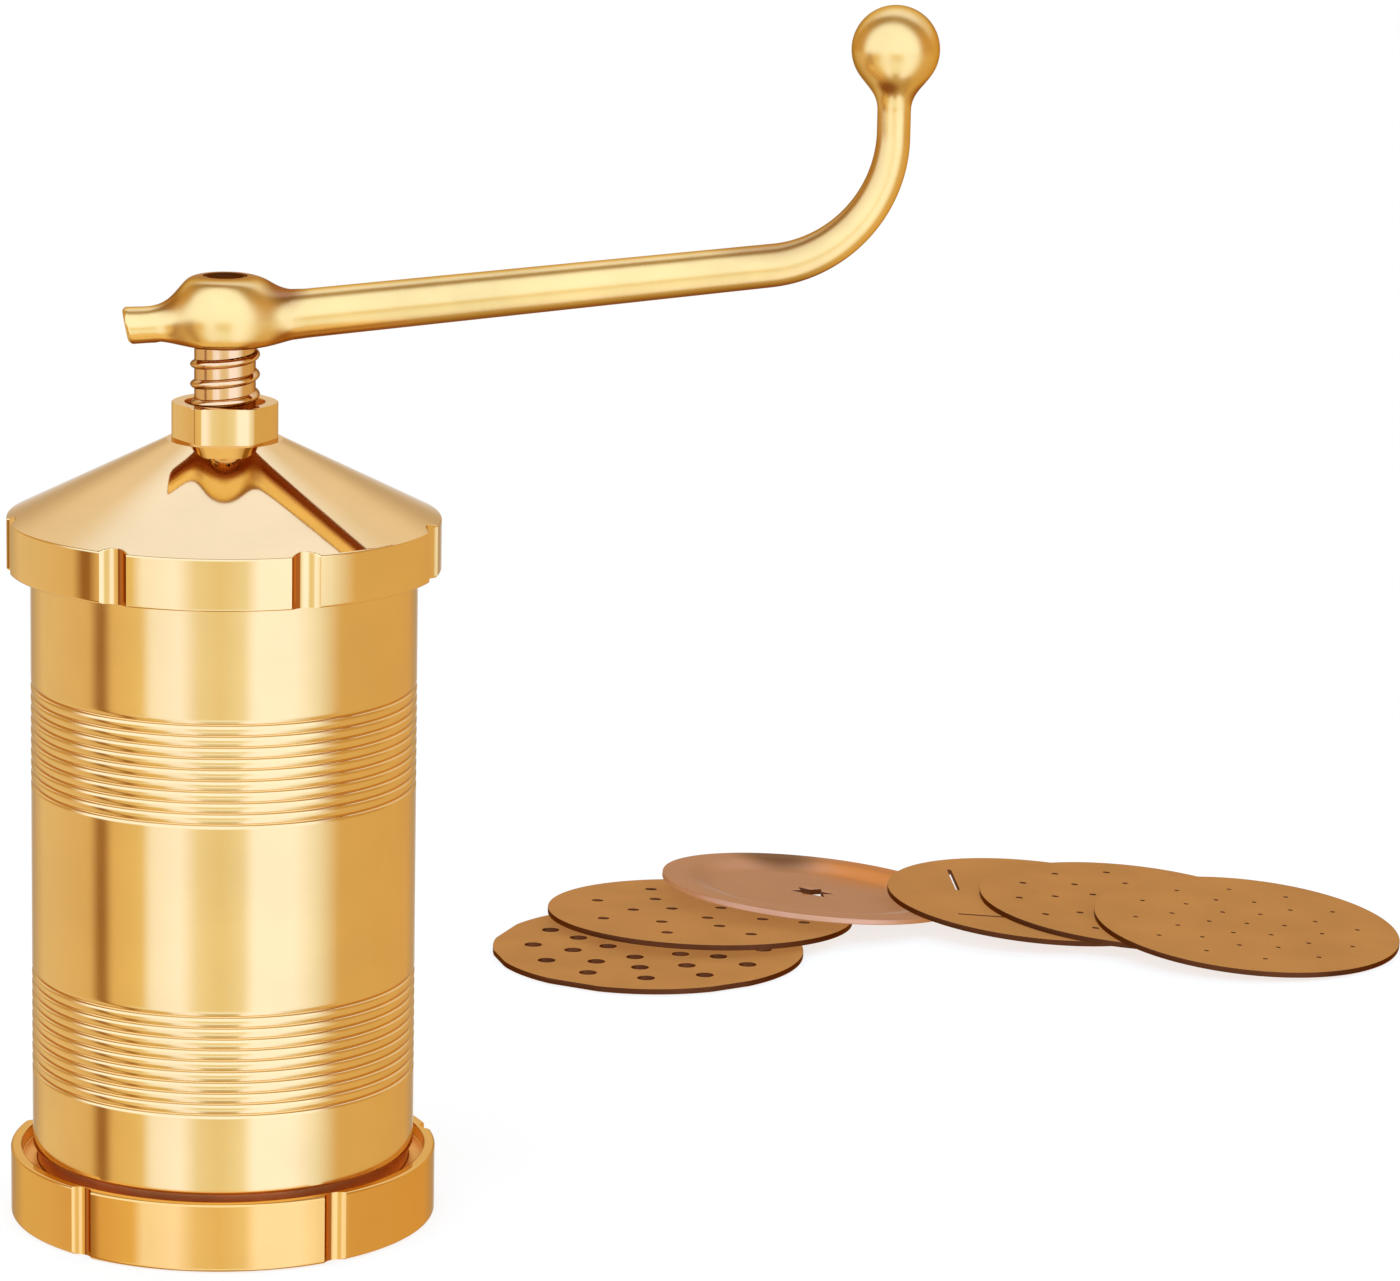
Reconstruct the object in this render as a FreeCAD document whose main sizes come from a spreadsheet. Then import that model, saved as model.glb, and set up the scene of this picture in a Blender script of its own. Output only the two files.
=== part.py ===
import FreeCAD, Part
import math
import os
import re

import Sketcher

# A brass sevai press with its dies. Millimetres, +Z up, the foot of the base ring on z = 0,
# the screw's axis on the Z axis and the crank's arm along +X.

Vector = FreeCAD.Vector
Rotation = FreeCAD.Rotation
Placement = FreeCAD.Placement

SIZES = {
    # barrel
    "barrel_radius": 34.8,
    "barrel_wall": 3.0,
    "barrel_length": 123.4,
    "barrel_edge_chamfer": 0.5,
    "neck_step": 0.9,
    "neck_exposed": 0.3,
    "groove_count": 10,
    "groove_pitch": 2.0,
    "groove_width": 1.0,
    "groove_depth": 0.35,
    "lower_band_height": 24.4,
    "upper_band_height": 77.5,
    # base ring: a collar with an inward flange that carries the die
    "ring_wall": 4.82,
    "ring_height": 12.6,
    "ring_lip_wall": 2.0,
    "ring_lip_depth": 2.4,
    "ring_edge_chamfer": 0.5,
    "flange_thickness": 2.5,
    "flange_width": 3.98,
    "ring_flute_count": 5,
    "ring_flute_radius": 2.6,
    "ring_flute_depth": 1.4,
    "ring_flute_angle": 13.1,
    # screwed cap
    "cap_wall": 4.12,
    "cap_rim_height": 9.3,
    "cap_engagement": 7.1,
    "cap_edge_chamfer": 0.5,
    "cap_flute_count": 7,
    "cap_flute_radius": 3.1,
    "cap_flute_depth": 2.4,
    "cap_flute_angle": 34.3,
    "cone_rise": 14.3,
    "cone_wall": 3.2,
    "boss_wall": 3.32,
    "boss_ledge": 0.75,
    "boss_height": 6.7,
    "boss_countersink": 0.9,
    "nut_wall": 3.67,
    "nut_depth": 4.5,
    # screw
    "screw_radius": 6.25,
    "screw_exposed": 10.2,
    "head_shoulder": 2.3,
    "foot_shoulder": 2.25,
    "foot_inset": 0.4,
    # crank handle
    "hub_wall": 5.53,
    "hub_below_centre": 5.2,
    "hub_above_centre": 7.3,
    "hub_blend": 2.5,
    "arm_gap": 0.3,
    "arm_slope": 6.3,
    "arm_root_radius": 4.45,
    "arm_bend_radius": 3.9,
    "arm_neck_radius": 3.0,
    "arm_inset": 4.5,
    "crank_radius": 119.0,
    "bend_radius": 24.0,
    "neck_rise": 15.2,
    "ball_radius": 7.9,
    "tail_reach": 8.8,
    "tail_slope": 2.7,
    "tail_root_radius": 3.1,
    "tail_end_radius": 3.5,
    # piston
    "piston_rest_gap": 9.9,
    "piston_thickness": 9.0,
    "piston_chamfer": 1.0,
    "piston_boss_wall": 6.4,
    "piston_boss_height": 4.0,
    "recess_play": 2.1,
    "recess_depth": 5.4,
    "washer_width": 3.98,
    "washer_thickness": 1.4,
    "foot_nut_wall": 3.48,
    "foot_nut_height": 3.4,
    # dies
    "die_thickness": 1.2,
    "dish_depth": 1.5,
    "dish_slope_width": 7.7,
    "dish_rim_width": 4.5,
    "star_tip_radius": 5.0,
    "star_notch_radius": 2.7,
    "slot_count": 4,
    "slot_width": 0.9,
    "slot_length": 17.0,
    "slot_offset": 17.0,
    "slot_start": 2.7,
    # the dies' round holes, in rings: how many, how far out, and the angle of the first
    "fitted_hole_radius": 1.25,
    "fitted_ring1_count": 10,
    "fitted_ring1_radius": 23.6,
    "fitted_ring1_angle": 0.0,
    "fitted_ring2_count": 5,
    "fitted_ring2_radius": 13.0,
    "fitted_ring2_angle": 20.0,
    "large_hole_radius": 1.9,
    "large_ring1_count": 12,
    "large_ring1_radius": 24.6,
    "large_ring1_angle": 25.0,
    "large_ring2_count": 10,
    "large_ring2_radius": 16.4,
    "large_ring2_angle": 8.0,
    "large_ring3_count": 5,
    "large_ring3_radius": 8.6,
    "large_ring3_angle": 31.0,
    "medium_hole_radius": 1.3,
    "medium_ring1_count": 8,
    "medium_ring1_radius": 23.6,
    "medium_ring1_angle": 23.0,
    "medium_ring2_count": 7,
    "medium_ring2_radius": 14.6,
    "medium_ring2_angle": 25.0,
    "medium_ring3_count": 3,
    "medium_ring3_radius": 6.4,
    "medium_ring3_angle": 40.0,
    "small_hole_radius": 0.8,
    "small_ring1_count": 12,
    "small_ring1_radius": 25.0,
    "small_ring1_angle": 4.0,
    "small_ring2_count": 8,
    "small_ring2_radius": 16.6,
    "small_ring2_angle": 40.0,
    "small_ring3_count": 5,
    "small_ring3_radius": 9.2,
    "small_ring3_angle": 2.0,
    "fine_hole_radius": 0.55,
    "fine_ring1_count": 12,
    "fine_ring1_radius": 24.4,
    "fine_ring1_angle": 0.0,
    "fine_ring2_count": 12,
    "fine_ring2_radius": 16.4,
    "fine_ring2_angle": 15.0,
    "fine_ring3_count": 6,
    "fine_ring3_radius": 8.3,
    "fine_ring3_angle": 0.0,
    "fine_ring4_count": 1,
    "fine_ring4_radius": 0.0,
    "fine_ring4_angle": 0.0,
    # where the centres of the loose dies lie on the table, from the lowest of the fan to the highest
    "large_die_x": 90.5,
    "large_die_y": 175.0,
    "medium_die_x": 103.4,
    "medium_die_y": 198.0,
    "star_die_x": 129.1,
    "star_die_y": 212.6,
    "slots_die_x": 178.4,
    "slots_die_y": 205.5,
    "small_die_x": 198.4,
    "small_die_y": 201.7,
    "fine_die_x": 221.2,
    "fine_die_y": 183.7,
    # clearances
    "seat_gap": 0.1,
    "thread_clearance": 0.08,
    "die_clearance": 0.78,
    "piston_clearance": 0.1,
    "swivel_clearance": 0.1,
    "head_clearance": 0.02,
    "stack_gap": 0.15,
}

HOLE_RINGS = {"fitted": 2, "large": 3, "medium": 3, "small": 3, "fine": 4}

# Below these, two lengths in mm are the same and a cut takes nothing away.
SAME_LENGTH = 1e-4
NO_VOLUME = 1e-6

doc = FreeCAD.newDocument("SevaiMaker")
sheet = doc.addObject("Spreadsheet::Sheet", "Sizes")
for row, (alias, number) in enumerate(SIZES.items(), 1):
    sheet.set(f"A{row}", alias)
    sheet.set(f"B{row}", str(number))
    sheet.setAlias(f"B{row}", alias)
doc.recompute()

# Radii that follow from the sizes, as expressions.
BARREL_BORE = "(barrel_radius - barrel_wall)"
NECK_RADIUS = "(barrel_radius - neck_step)"
RING_BORE = f"({NECK_RADIUS} + thread_clearance)"
RING_RADIUS = f"({RING_BORE} + ring_wall)"
DIE_RADIUS = f"({RING_BORE} - die_clearance)"
CAP_BORE = "(barrel_radius + thread_clearance)"
CAP_RADIUS = f"({CAP_BORE} + cap_wall)"
SCREW_BORE = "(screw_radius + thread_clearance)"
BOSS_CORNER = f"({SCREW_BORE} + boss_wall)"
CONE_TOP_RADIUS = f"({BOSS_CORNER} + boss_ledge)"
NUT_RADIUS = f"({SCREW_BORE} + nut_wall)"
HEAD_TENON = "(screw_radius - head_shoulder)"
FOOT_TENON = "(screw_radius - foot_shoulder)"
HUB_BORE = f"({HEAD_TENON} + head_clearance)"
HUB_RADIUS = f"({HUB_BORE} + hub_wall)"
ARM_START = f"({HUB_RADIUS} - arm_inset)"
ARM_START_HEIGHT = "(arm_root_radius + arm_gap)"
ARM_HEIGHT = f"({ARM_START_HEIGHT} - tan(arm_slope) * {ARM_START})"
FOOT_BORE = f"({FOOT_TENON} + head_clearance)"
FOOT_NUT_CORNER = f"({FOOT_BORE} + foot_nut_wall)"
DISH_RIM = f"({DIE_RADIUS} - dish_rim_width)"
DISH_FLOOR = f"({DISH_RIM} - dish_slope_width)"

# Heights that follow from the sizes.
DIE_TOP = "(flange_thickness + die_thickness)"
BARREL_FOOT = f"({DIE_TOP} + seat_gap)"
NECK_LENGTH = f"(ring_height - {BARREL_FOOT} + neck_exposed)"
CAP_FOOT = f"({BARREL_FOOT} + barrel_length + seat_gap - cap_engagement)"
CONE_TOP = "(cap_rim_height + cone_rise)"
CONE_STEEPNESS = f"(cone_rise / ({CAP_RADIUS} - {CONE_TOP_RADIUS}))"
HUB_SEAT = f"({CAP_FOOT} + {CONE_TOP} + boss_height + screw_exposed)"
HUB_HEIGHT = "(hub_below_centre + hub_above_centre)"
PISTON_FOOT = f"({DIE_TOP} + piston_rest_gap)"
SCREW_FOOT = f"({PISTON_FOOT} + foot_inset)"
SCREW_SHOULDER = "(piston_thickness + piston_boss_height + swivel_clearance - foot_inset)"
SCREW_SEAT = f"({HUB_SEAT} - {SCREW_FOOT})"


def bound(expression):
    """The expression with each size's name written as a reference to its cell."""
    return re.sub(r"[a-z]\w*", lambda word: f"Sizes.{word[0]}" if word[0] in SIZES else word[0], expression)


def value(expression):
    """The number that an expression gives now."""
    result = sheet.evalExpression(bound(expression))
    return float(getattr(result, "Value", result))


# ---------------------------------------------------------------- sketches and features

def new_body(label, height="0"):
    """A body with its own label, standing at a height on the press axis."""
    body = doc.addObject("PartDesign::Body", label)
    body.Label = label
    body.setExpression("Placement.Base.z", bound(height))
    return body


def new_sketch(body, name, plane="XZ_Plane", offset=None):
    """A sketch on one of the body's origin planes, set off from it along the plane's normal."""
    sketch = body.newObject("Sketcher::SketchObject", name)
    support = next(f for f in body.Origin.OriginFeatures if f.Role == plane)
    sketch.AttachmentSupport = [(support, "")]
    sketch.MapMode = "FlatFace"
    if offset:
        sketch.setExpression("AttachmentOffset.Base.z", bound(offset))
    return sketch


def drive(sketch, kind, *elements, expression):
    """A dimension of a sketch, bound to an expression."""
    index = sketch.addConstraint(Sketcher.Constraint(kind, *elements, value(expression)))
    sketch.setExpression(f"Constraints[{index}]", bound(expression))


def locate(sketch, element, vertex, across, up):
    """Hold a sketch point at a place, given as two expressions."""
    for kind, axis, expression in (("DistanceX", -2, across), ("DistanceY", -1, up)):
        if abs(value(expression)) < SAME_LENGTH:
            sketch.addConstraint(Sketcher.Constraint("PointOnObject", element, vertex, axis))
        else:
            drive(sketch, kind, -1, 1, element, vertex, expression=expression)


def outline(body, name, corners, plane="XZ_Plane", offset=None):
    """A closed outline of straight lines through corners that are pairs of expressions."""
    sketch = new_sketch(body, name, plane, offset)
    points = [Vector(value(across), value(up), 0) for across, up in corners]
    count = len(points)
    for index in range(count):
        sketch.addGeometry(Part.LineSegment(points[index], points[(index + 1) % count]))
    for index in range(count):
        sketch.addConstraint(Sketcher.Constraint("Coincident", index, 2, (index + 1) % count, 1))
    for index, (across, up) in enumerate(corners):
        locate(sketch, index, 1, across, up)
    return sketch


def circle(sketch, radius, across="0", up="0"):
    """A circle in a sketch, its radius and centre given as expressions."""
    centre = Vector(value(across), value(up), 0)
    index = sketch.addGeometry(Part.Circle(centre, Vector(0, 0, 1), value(radius)))
    drive(sketch, "Radius", index, expression=radius)
    locate(sketch, index, 3, across, up)


def regular_outline(sketch, tips, tip_radius, notch_radius=None):
    """A closed regular outline about the origin: a polygon, or a star where a notch radius is given."""
    radii = [tip_radius, notch_radius] if notch_radius else [tip_radius]
    guides = []
    for radius in radii:
        guide = sketch.addGeometry(Part.Circle(Vector(), Vector(0, 0, 1), value(radius)), True)
        drive(sketch, "Radius", guide, expression=radius)
        sketch.addConstraint(Sketcher.Constraint("Coincident", guide, 3, -1, 1))
        guides.append(guide)
    count = tips * len(radii)
    points = []
    for index in range(count):
        radius = value(radii[index % len(radii)])
        angle = 2 * math.pi * index / count
        points.append(Vector(radius * math.cos(angle), radius * math.sin(angle), 0))
    sides = [sketch.addGeometry(Part.LineSegment(points[i], points[(i + 1) % count])) for i in range(count)]
    for index, side in enumerate(sides):
        following = sides[(index + 1) % count]
        sketch.addConstraint(Sketcher.Constraint("Coincident", side, 2, following, 1))
        sketch.addConstraint(Sketcher.Constraint("PointOnObject", side, 1, guides[index % len(guides)]))
    for side in sides[1:]:
        sketch.addConstraint(Sketcher.Constraint("Equal", sides[0], side))
    sketch.addConstraint(Sketcher.Constraint("PointOnObject", sides[0], 1, -1))


def revolve(body, sketch, name, kind="Revolution"):
    """A full turn of a sketch about the upright axis of its own plane."""
    feature = body.newObject(f"PartDesign::{kind}", name)
    feature.Profile = sketch
    feature.ReferenceAxis = (sketch, ["V_Axis"])
    feature.Angle = 360
    sketch.Visibility = False
    doc.recompute()
    return feature


def pad(body, sketch, name, length):
    """A sketch raised along the plane's normal."""
    feature = body.newObject("PartDesign::Pad", name)
    feature.Profile = sketch
    feature.setExpression("Length", bound(length))
    doc.recompute()
    return feature


def cut_through(body, sketch, name):
    """A sketch cut right through the body, to both sides of its plane."""
    before = body.Shape.Volume
    feature = body.newObject("PartDesign::Pocket", name)
    feature.Profile = sketch
    feature.Type = 1
    feature.Midplane = True
    doc.recompute()
    if feature.Shape.Volume > before - NO_VOLUME:
        raise RuntimeError(f"{name} cuts nothing")
    return feature


def polar(body, feature, axis_sketch, name, count):
    """Equal copies of a feature about the body's upright axis."""
    pattern = body.newObject("PartDesign::PolarPattern", name)
    pattern.Originals = [feature]
    pattern.Axis = (axis_sketch, ["N_Axis"])
    pattern.Angle = 360
    pattern.setExpression("Occurrences", bound(count))
    body.Tip = pattern
    doc.recompute()
    return pattern


def edges_on(shape, radius, height):
    """The names of the full circles of a radius about the upright axis, at a height."""
    names = []
    for number, edge in enumerate(shape.Edges, 1):
        curve = edge.Curve
        if isinstance(curve, Part.Circle) and edge.Closed:
            same_radius = abs(curve.Radius - radius) < SAME_LENGTH
            same_height = abs(curve.Center.z - height) < SAME_LENGTH
            if same_radius and same_height:
                names.append(f"Edge{number}")
    if not names:
        raise RuntimeError(f"no circle of radius {radius} at {height}")
    return names


def break_edges(body, feature, name, size, circles):
    """A chamfer on full circles, each given as (radius, height) expressions."""
    names = [edge for r, z in circles for edge in edges_on(feature.Shape, value(r), value(z))]
    chamfer = body.newObject("PartDesign::Chamfer", name)
    chamfer.Base = (feature, names)
    chamfer.setExpression("Size", bound(size))
    doc.recompute()
    return chamfer


def flutes(body, prefix, outer_radius):
    """Half-round grip flutes, cut upright into the rim and spaced evenly around it."""
    out = f"({outer_radius} + {prefix}_flute_radius - {prefix}_flute_depth)"
    angle = f"{prefix}_flute_angle"
    sketch = new_sketch(body, f"{prefix}_flute_sketch", "XY_Plane")
    circle(sketch, f"{prefix}_flute_radius", f"{out} * cos({angle})", f"{out} * sin({angle})")
    first = cut_through(body, sketch, f"{prefix}_flute")
    polar(body, first, sketch, f"{prefix}_flutes", f"{prefix}_flute_count")


# ---------------------------------------------------------------- press

def make_base_ring():
    """The collar under the barrel: flange, bore for the barrel's neck and an open lip."""
    body = new_body("base_ring")
    outlet = f"({DIE_RADIUS} - flange_width + die_clearance)"
    lip_bore = f"({RING_RADIUS} - ring_lip_wall)"
    lip_floor = "(ring_height - ring_lip_depth)"
    section = outline(body, "ring_section", [
        (outlet, "0"),
        (RING_RADIUS, "0"),
        (RING_RADIUS, "ring_height"),
        (lip_bore, "ring_height"),
        (lip_bore, lip_floor),
        (RING_BORE, lip_floor),
        (RING_BORE, "flange_thickness"),
        (outlet, "flange_thickness"),
    ])
    ring = revolve(body, section, "ring_turned")
    break_edges(body, ring, "ring_edges", "ring_edge_chamfer", [
        (RING_RADIUS, "0"),
        (RING_RADIUS, "ring_height"),
    ])
    flutes(body, "ring", RING_RADIUS)
    return body


def groove_band(body, name, height):
    """A band of fine turned grooves, the first at a height above the barrel's foot."""
    section = outline(body, f"{name}_section", [
        ("barrel_radius - groove_depth", height),
        ("barrel_radius + groove_depth", f"{height} + groove_width"),
        ("barrel_radius + groove_depth", f"{height} - groove_width"),
    ])
    before = body.Shape.Volume
    groove = revolve(body, section, name, "Groove")
    if groove.Shape.Volume > before - NO_VOLUME:
        raise RuntimeError(f"{name} cuts nothing")
    pattern = body.newObject("PartDesign::LinearPattern", f"{name}s")
    pattern.Originals = [groove]
    pattern.Direction = (section, ["V_Axis"])
    pattern.setExpression("Length", bound("(groove_count - 1) * groove_pitch"))
    pattern.setExpression("Occurrences", bound("groove_count"))
    body.Tip = pattern
    doc.recompute()


def make_barrel():
    """The tube that holds the dough: a stepped neck below, screw ends and two bands of grooves."""
    body = new_body("barrel", BARREL_FOOT)
    section = outline(body, "barrel_section", [
        (BARREL_BORE, "0"),
        (NECK_RADIUS, "0"),
        (NECK_RADIUS, NECK_LENGTH),
        ("barrel_radius", f"{NECK_LENGTH} + neck_step"),
        ("barrel_radius", "barrel_length - barrel_edge_chamfer"),
        ("barrel_radius - barrel_edge_chamfer", "barrel_length"),
        (BARREL_BORE, "barrel_length"),
    ])
    revolve(body, section, "barrel_turned")
    groove_band(body, "lower_groove", "lower_band_height")
    groove_band(body, "upper_groove", "upper_band_height")
    return body


def make_top_cap():
    """The screwed cap: fluted rim, cone, and a hexagonal boss with the screw's nut hanging inside."""
    body = new_body("top_cap", CAP_FOOT)
    cavity_low = f"({CONE_TOP} - {CONE_STEEPNESS} * ({BARREL_BORE} - {CONE_TOP_RADIUS}) - cone_wall)"
    cavity_high = f"({CONE_TOP} - {CONE_STEEPNESS} * ({NUT_RADIUS} - {CONE_TOP_RADIUS}) - cone_wall)"
    nut_foot = f"({cavity_high} - nut_depth)"
    section = outline(body, "cap_section", [
        (CAP_BORE, "0"),
        (CAP_RADIUS, "0"),
        (CAP_RADIUS, "cap_rim_height"),
        (CONE_TOP_RADIUS, CONE_TOP),
        (SCREW_BORE, CONE_TOP),
        (SCREW_BORE, nut_foot),
        (NUT_RADIUS, nut_foot),
        (NUT_RADIUS, cavity_high),
        (BARREL_BORE, cavity_low),
        (BARREL_BORE, "cap_engagement"),
        (CAP_BORE, "cap_engagement"),
    ])
    cap = revolve(body, section, "cap_turned")
    break_edges(body, cap, "cap_edges", "cap_edge_chamfer", [
        (CAP_RADIUS, "0"),
        (CAP_RADIUS, "cap_rim_height"),
    ])
    flutes(body, "cap", CAP_RADIUS)
    boss_sketch = new_sketch(body, "boss_sketch", "XY_Plane", CONE_TOP)
    regular_outline(boss_sketch, 6, BOSS_CORNER)
    circle(boss_sketch, SCREW_BORE)
    boss = pad(body, boss_sketch, "boss", "boss_height")
    mouth = [(SCREW_BORE, f"{CONE_TOP} + boss_height")]
    break_edges(body, boss, "boss_mouth", "boss_countersink", mouth)
    return body


def make_screw():
    """The spindle at the crest radius of its thread, with a tenon for the crank and one for the piston."""
    body = new_body("screw_spindle", SCREW_FOOT)
    head = f"({SCREW_SEAT} + {HUB_HEIGHT})"
    section = outline(body, "screw_section", [
        ("0", "0"),
        (FOOT_TENON, "0"),
        (FOOT_TENON, SCREW_SHOULDER),
        ("screw_radius", SCREW_SHOULDER),
        ("screw_radius", SCREW_SEAT),
        (HEAD_TENON, SCREW_SEAT),
        (HEAD_TENON, head),
        ("0", head),
    ])
    revolve(body, section, "screw_turned")
    return body


def make_piston():
    """The piston: a disc with a central boss above and a recess below for its washer and nut."""
    body = new_body("plunger_disc", PISTON_FOOT)
    radius = f"({BARREL_BORE} - piston_clearance)"
    bore = f"({FOOT_TENON} + swivel_clearance)"
    boss = f"({bore} + piston_boss_wall)"
    boss_top = "(piston_thickness + piston_boss_height)"
    recess = f"({FOOT_NUT_CORNER} + recess_play)"
    section = outline(body, "piston_section", [
        (recess, "0"),
        (f"{radius} - piston_chamfer", "0"),
        (radius, "piston_chamfer"),
        (radius, "piston_thickness - piston_chamfer"),
        (f"{radius} - piston_chamfer", "piston_thickness"),
        (boss, "piston_thickness"),
        (boss, boss_top),
        (bore, boss_top),
        (bore, "recess_depth"),
        (recess, "recess_depth"),
    ])
    revolve(body, section, "piston_turned")
    return body


def make_piston_fasteners():
    """The washer and the nut that hold the piston on the screw's foot and let it swivel."""
    washer_foot = f"({PISTON_FOOT} + recess_depth - swivel_clearance - washer_thickness)"
    washer = new_body("plunger_washer", washer_foot)
    ring = new_sketch(washer, "washer_sketch", "XY_Plane")
    circle(ring, f"{FOOT_BORE} + washer_width")
    circle(ring, FOOT_BORE)
    pad(washer, ring, "washer_plate", "washer_thickness")
    nut = new_body("plunger_nut", f"{washer_foot} - foot_nut_height")
    hexagon = new_sketch(nut, "foot_nut_sketch", "XY_Plane")
    regular_outline(hexagon, 6, FOOT_NUT_CORNER)
    circle(hexagon, FOOT_BORE)
    pad(nut, hexagon, "foot_nut", "foot_nut_height")
    return [washer, nut]


# ---------------------------------------------------------------- crank handle

def primitive(body, kind, name, placement, sizes):
    """A primitive added to the body's solid; sizes maps properties to expressions."""
    feature = body.newObject(f"PartDesign::{kind}", name)
    feature.Placement = placement
    for key, expression in sizes.items():
        feature.setExpression(key, bound(expression))
    doc.recompute()
    return feature


def arm_path(body):
    """The arm's centre line: a rising straight run, a bend to upright and a neck."""
    bend_centre = "(crank_radius - bend_radius)"
    bend_height = f"({ARM_HEIGHT} + tan(arm_slope) * {bend_centre} + bend_radius / cos(arm_slope))"
    neck_top = f"({bend_height} + neck_rise)"
    slope = math.radians(value("arm_slope"))
    centre = Vector(value(bend_centre), value(bend_height), 0)
    radius = value("bend_radius")
    start = Vector(value(ARM_START), value(ARM_START_HEIGHT), 0)
    tangent = centre + radius * Vector(math.sin(slope), -math.cos(slope), 0)
    upright = centre + Vector(radius, 0, 0)
    top = Vector(value("crank_radius"), value(neck_top), 0)
    path = new_sketch(body, "arm_path")
    run = path.addGeometry(Part.LineSegment(start, tangent))
    arc = Part.ArcOfCircle(Part.Circle(centre, Vector(0, 0, 1), radius), slope - math.pi / 2, 0)
    bend = path.addGeometry(arc)
    neck = path.addGeometry(Part.LineSegment(upright, top))
    path.addConstraint(Sketcher.Constraint("Tangent", run, 2, bend, 1))
    path.addConstraint(Sketcher.Constraint("Tangent", bend, 2, neck, 1))
    path.addConstraint(Sketcher.Constraint("Vertical", neck))
    drive(path, "Radius", bend, expression="bend_radius")
    locate(path, run, 1, ARM_START, ARM_START_HEIGHT)
    locate(path, neck, 2, "crank_radius", neck_top)
    doc.recompute()
    return path, neck_top


def arm_section(body, path, edge, along, radius, name):
    """A round section square to the arm's centre line, at the start or the end of one of its edges."""
    sketch = body.newObject("Sketcher::SketchObject", name)
    sketch.AttachmentSupport = [(path, edge)]
    sketch.MapMode = "NormalToEdge"
    sketch.MapPathParameter = along
    doc.recompute()
    circle(sketch, radius)
    doc.recompute()
    return sketch


def joins(shape):
    """The names of the edges where the arm and the tail leave the hub's sphere."""
    names = []
    for number, edge in enumerate(shape.Edges, 1):
        faces = shape.ancestorsOfType(edge, Part.Face)
        spheres = [face for face in faces if isinstance(face.Surface, Part.Sphere)]
        planes = [face for face in faces if isinstance(face.Surface, Part.Plane)]
        if len(faces) == 2 and len(spheres) == 1 and not planes:
            names.append(f"Edge{number}")
    return names


def make_handle():
    """The crank, one casting: ball-like hub with a tail, tapered arm, bend, neck and ball grip."""
    body = new_body("crank_handle", HUB_SEAT)
    path, neck_top = arm_path(body)
    sections = [
        arm_section(body, path, "Edge1", 0, "arm_root_radius", "arm_root"),
        arm_section(body, path, "Edge1", 1, "arm_bend_radius", "arm_before_bend"),
        arm_section(body, path, "Edge3", 0, "arm_neck_radius", "arm_after_bend"),
        arm_section(body, path, "Edge3", 1, "arm_neck_radius", "arm_top"),
    ]
    arm = body.newObject("PartDesign::AdditivePipe", "arm")
    arm.Profile = sections[0]
    arm.Sections = sections[1:]
    arm.Spine = (path, ["Edge1", "Edge2", "Edge3"])
    arm.Transition = "Transformed"
    arm.Transformation = "Multisection"
    doc.recompute()
    primitive(body, "AdditiveSphere", "hub", Placement(), {
        "Radius": HUB_RADIUS,
        "Placement.Base.z": "hub_below_centre",
        "Angle1": f"-asin(hub_below_centre / {HUB_RADIUS})",
        "Angle2": f"asin(hub_above_centre / {HUB_RADIUS})",
    })
    tail = primitive(body, "AdditiveCone", "tail", Placement(Vector(), Rotation(Vector(0, -1, 0), 90)), {
        "Radius1": "tail_root_radius",
        "Radius2": "tail_end_radius",
        "Height": "(tail_reach + arm_inset) / cos(tail_slope)",
        "Placement.Base.x": f"-{ARM_START}",
        "Placement.Base.z": f"{ARM_HEIGHT} - tan(tail_slope) * {ARM_START}",
        "Placement.Rotation.Angle": "90 + tail_slope",
    })
    blend = body.newObject("PartDesign::Fillet", "hub_blends")
    blend.Base = (tail, joins(tail.Shape))
    blend.setExpression("Radius", bound("hub_blend"))
    doc.recompute()
    primitive(body, "AdditiveSphere", "ball_grip", Placement(), {
        "Radius": "ball_radius",
        "Placement.Base.x": "crank_radius",
        "Placement.Base.z": neck_top,
    })
    bore = new_sketch(body, "hub_bore_sketch", "XY_Plane")
    circle(bore, HUB_BORE)
    cut_through(body, bore, "hub_bore")
    return body


# ---------------------------------------------------------------- dies

def pierce(body, kind):
    """The die's rings of round holes."""
    for number in range(1, HOLE_RINGS[kind] + 1):
        name = f"{kind}_ring{number}"
        across = f"{name}_radius * cos({name}_angle)"
        up = f"{name}_radius * sin({name}_angle)"
        sketch = new_sketch(body, f"{name}_sketch", "XY_Plane")
        circle(sketch, f"{kind}_hole_radius", across, up)
        hole = cut_through(body, sketch, f"{name}_hole")
        if value(f"{name}_count") > 1:
            polar(body, hole, sketch, f"{name}_holes", f"{name}_count")


def flat_die(label, kind):
    """A flat round plate, ready to be pierced."""
    body = new_body(label)
    sketch = new_sketch(body, f"{kind}_disc_sketch", "XY_Plane")
    circle(sketch, DIE_RADIUS)
    pad(body, sketch, f"{kind}_disc", "die_thickness")
    return body


def make_round_die(kind, label):
    """A flat die with rings of round holes."""
    body = flat_die(label, kind)
    pierce(body, kind)
    return body


def make_slot_die():
    """A flat die with four slots in a pinwheel."""
    body = flat_die("die_slots", "slots")
    section = outline(body, "slot_sketch", [
        ("slot_start", "slot_offset"),
        ("slot_start + slot_length", "slot_offset"),
        ("slot_start + slot_length", "slot_offset + slot_width"),
        ("slot_start", "slot_offset + slot_width"),
    ], "XY_Plane")
    slot = cut_through(body, section, "slot")
    polar(body, slot, section, "slots", "slot_count")
    return body


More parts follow.
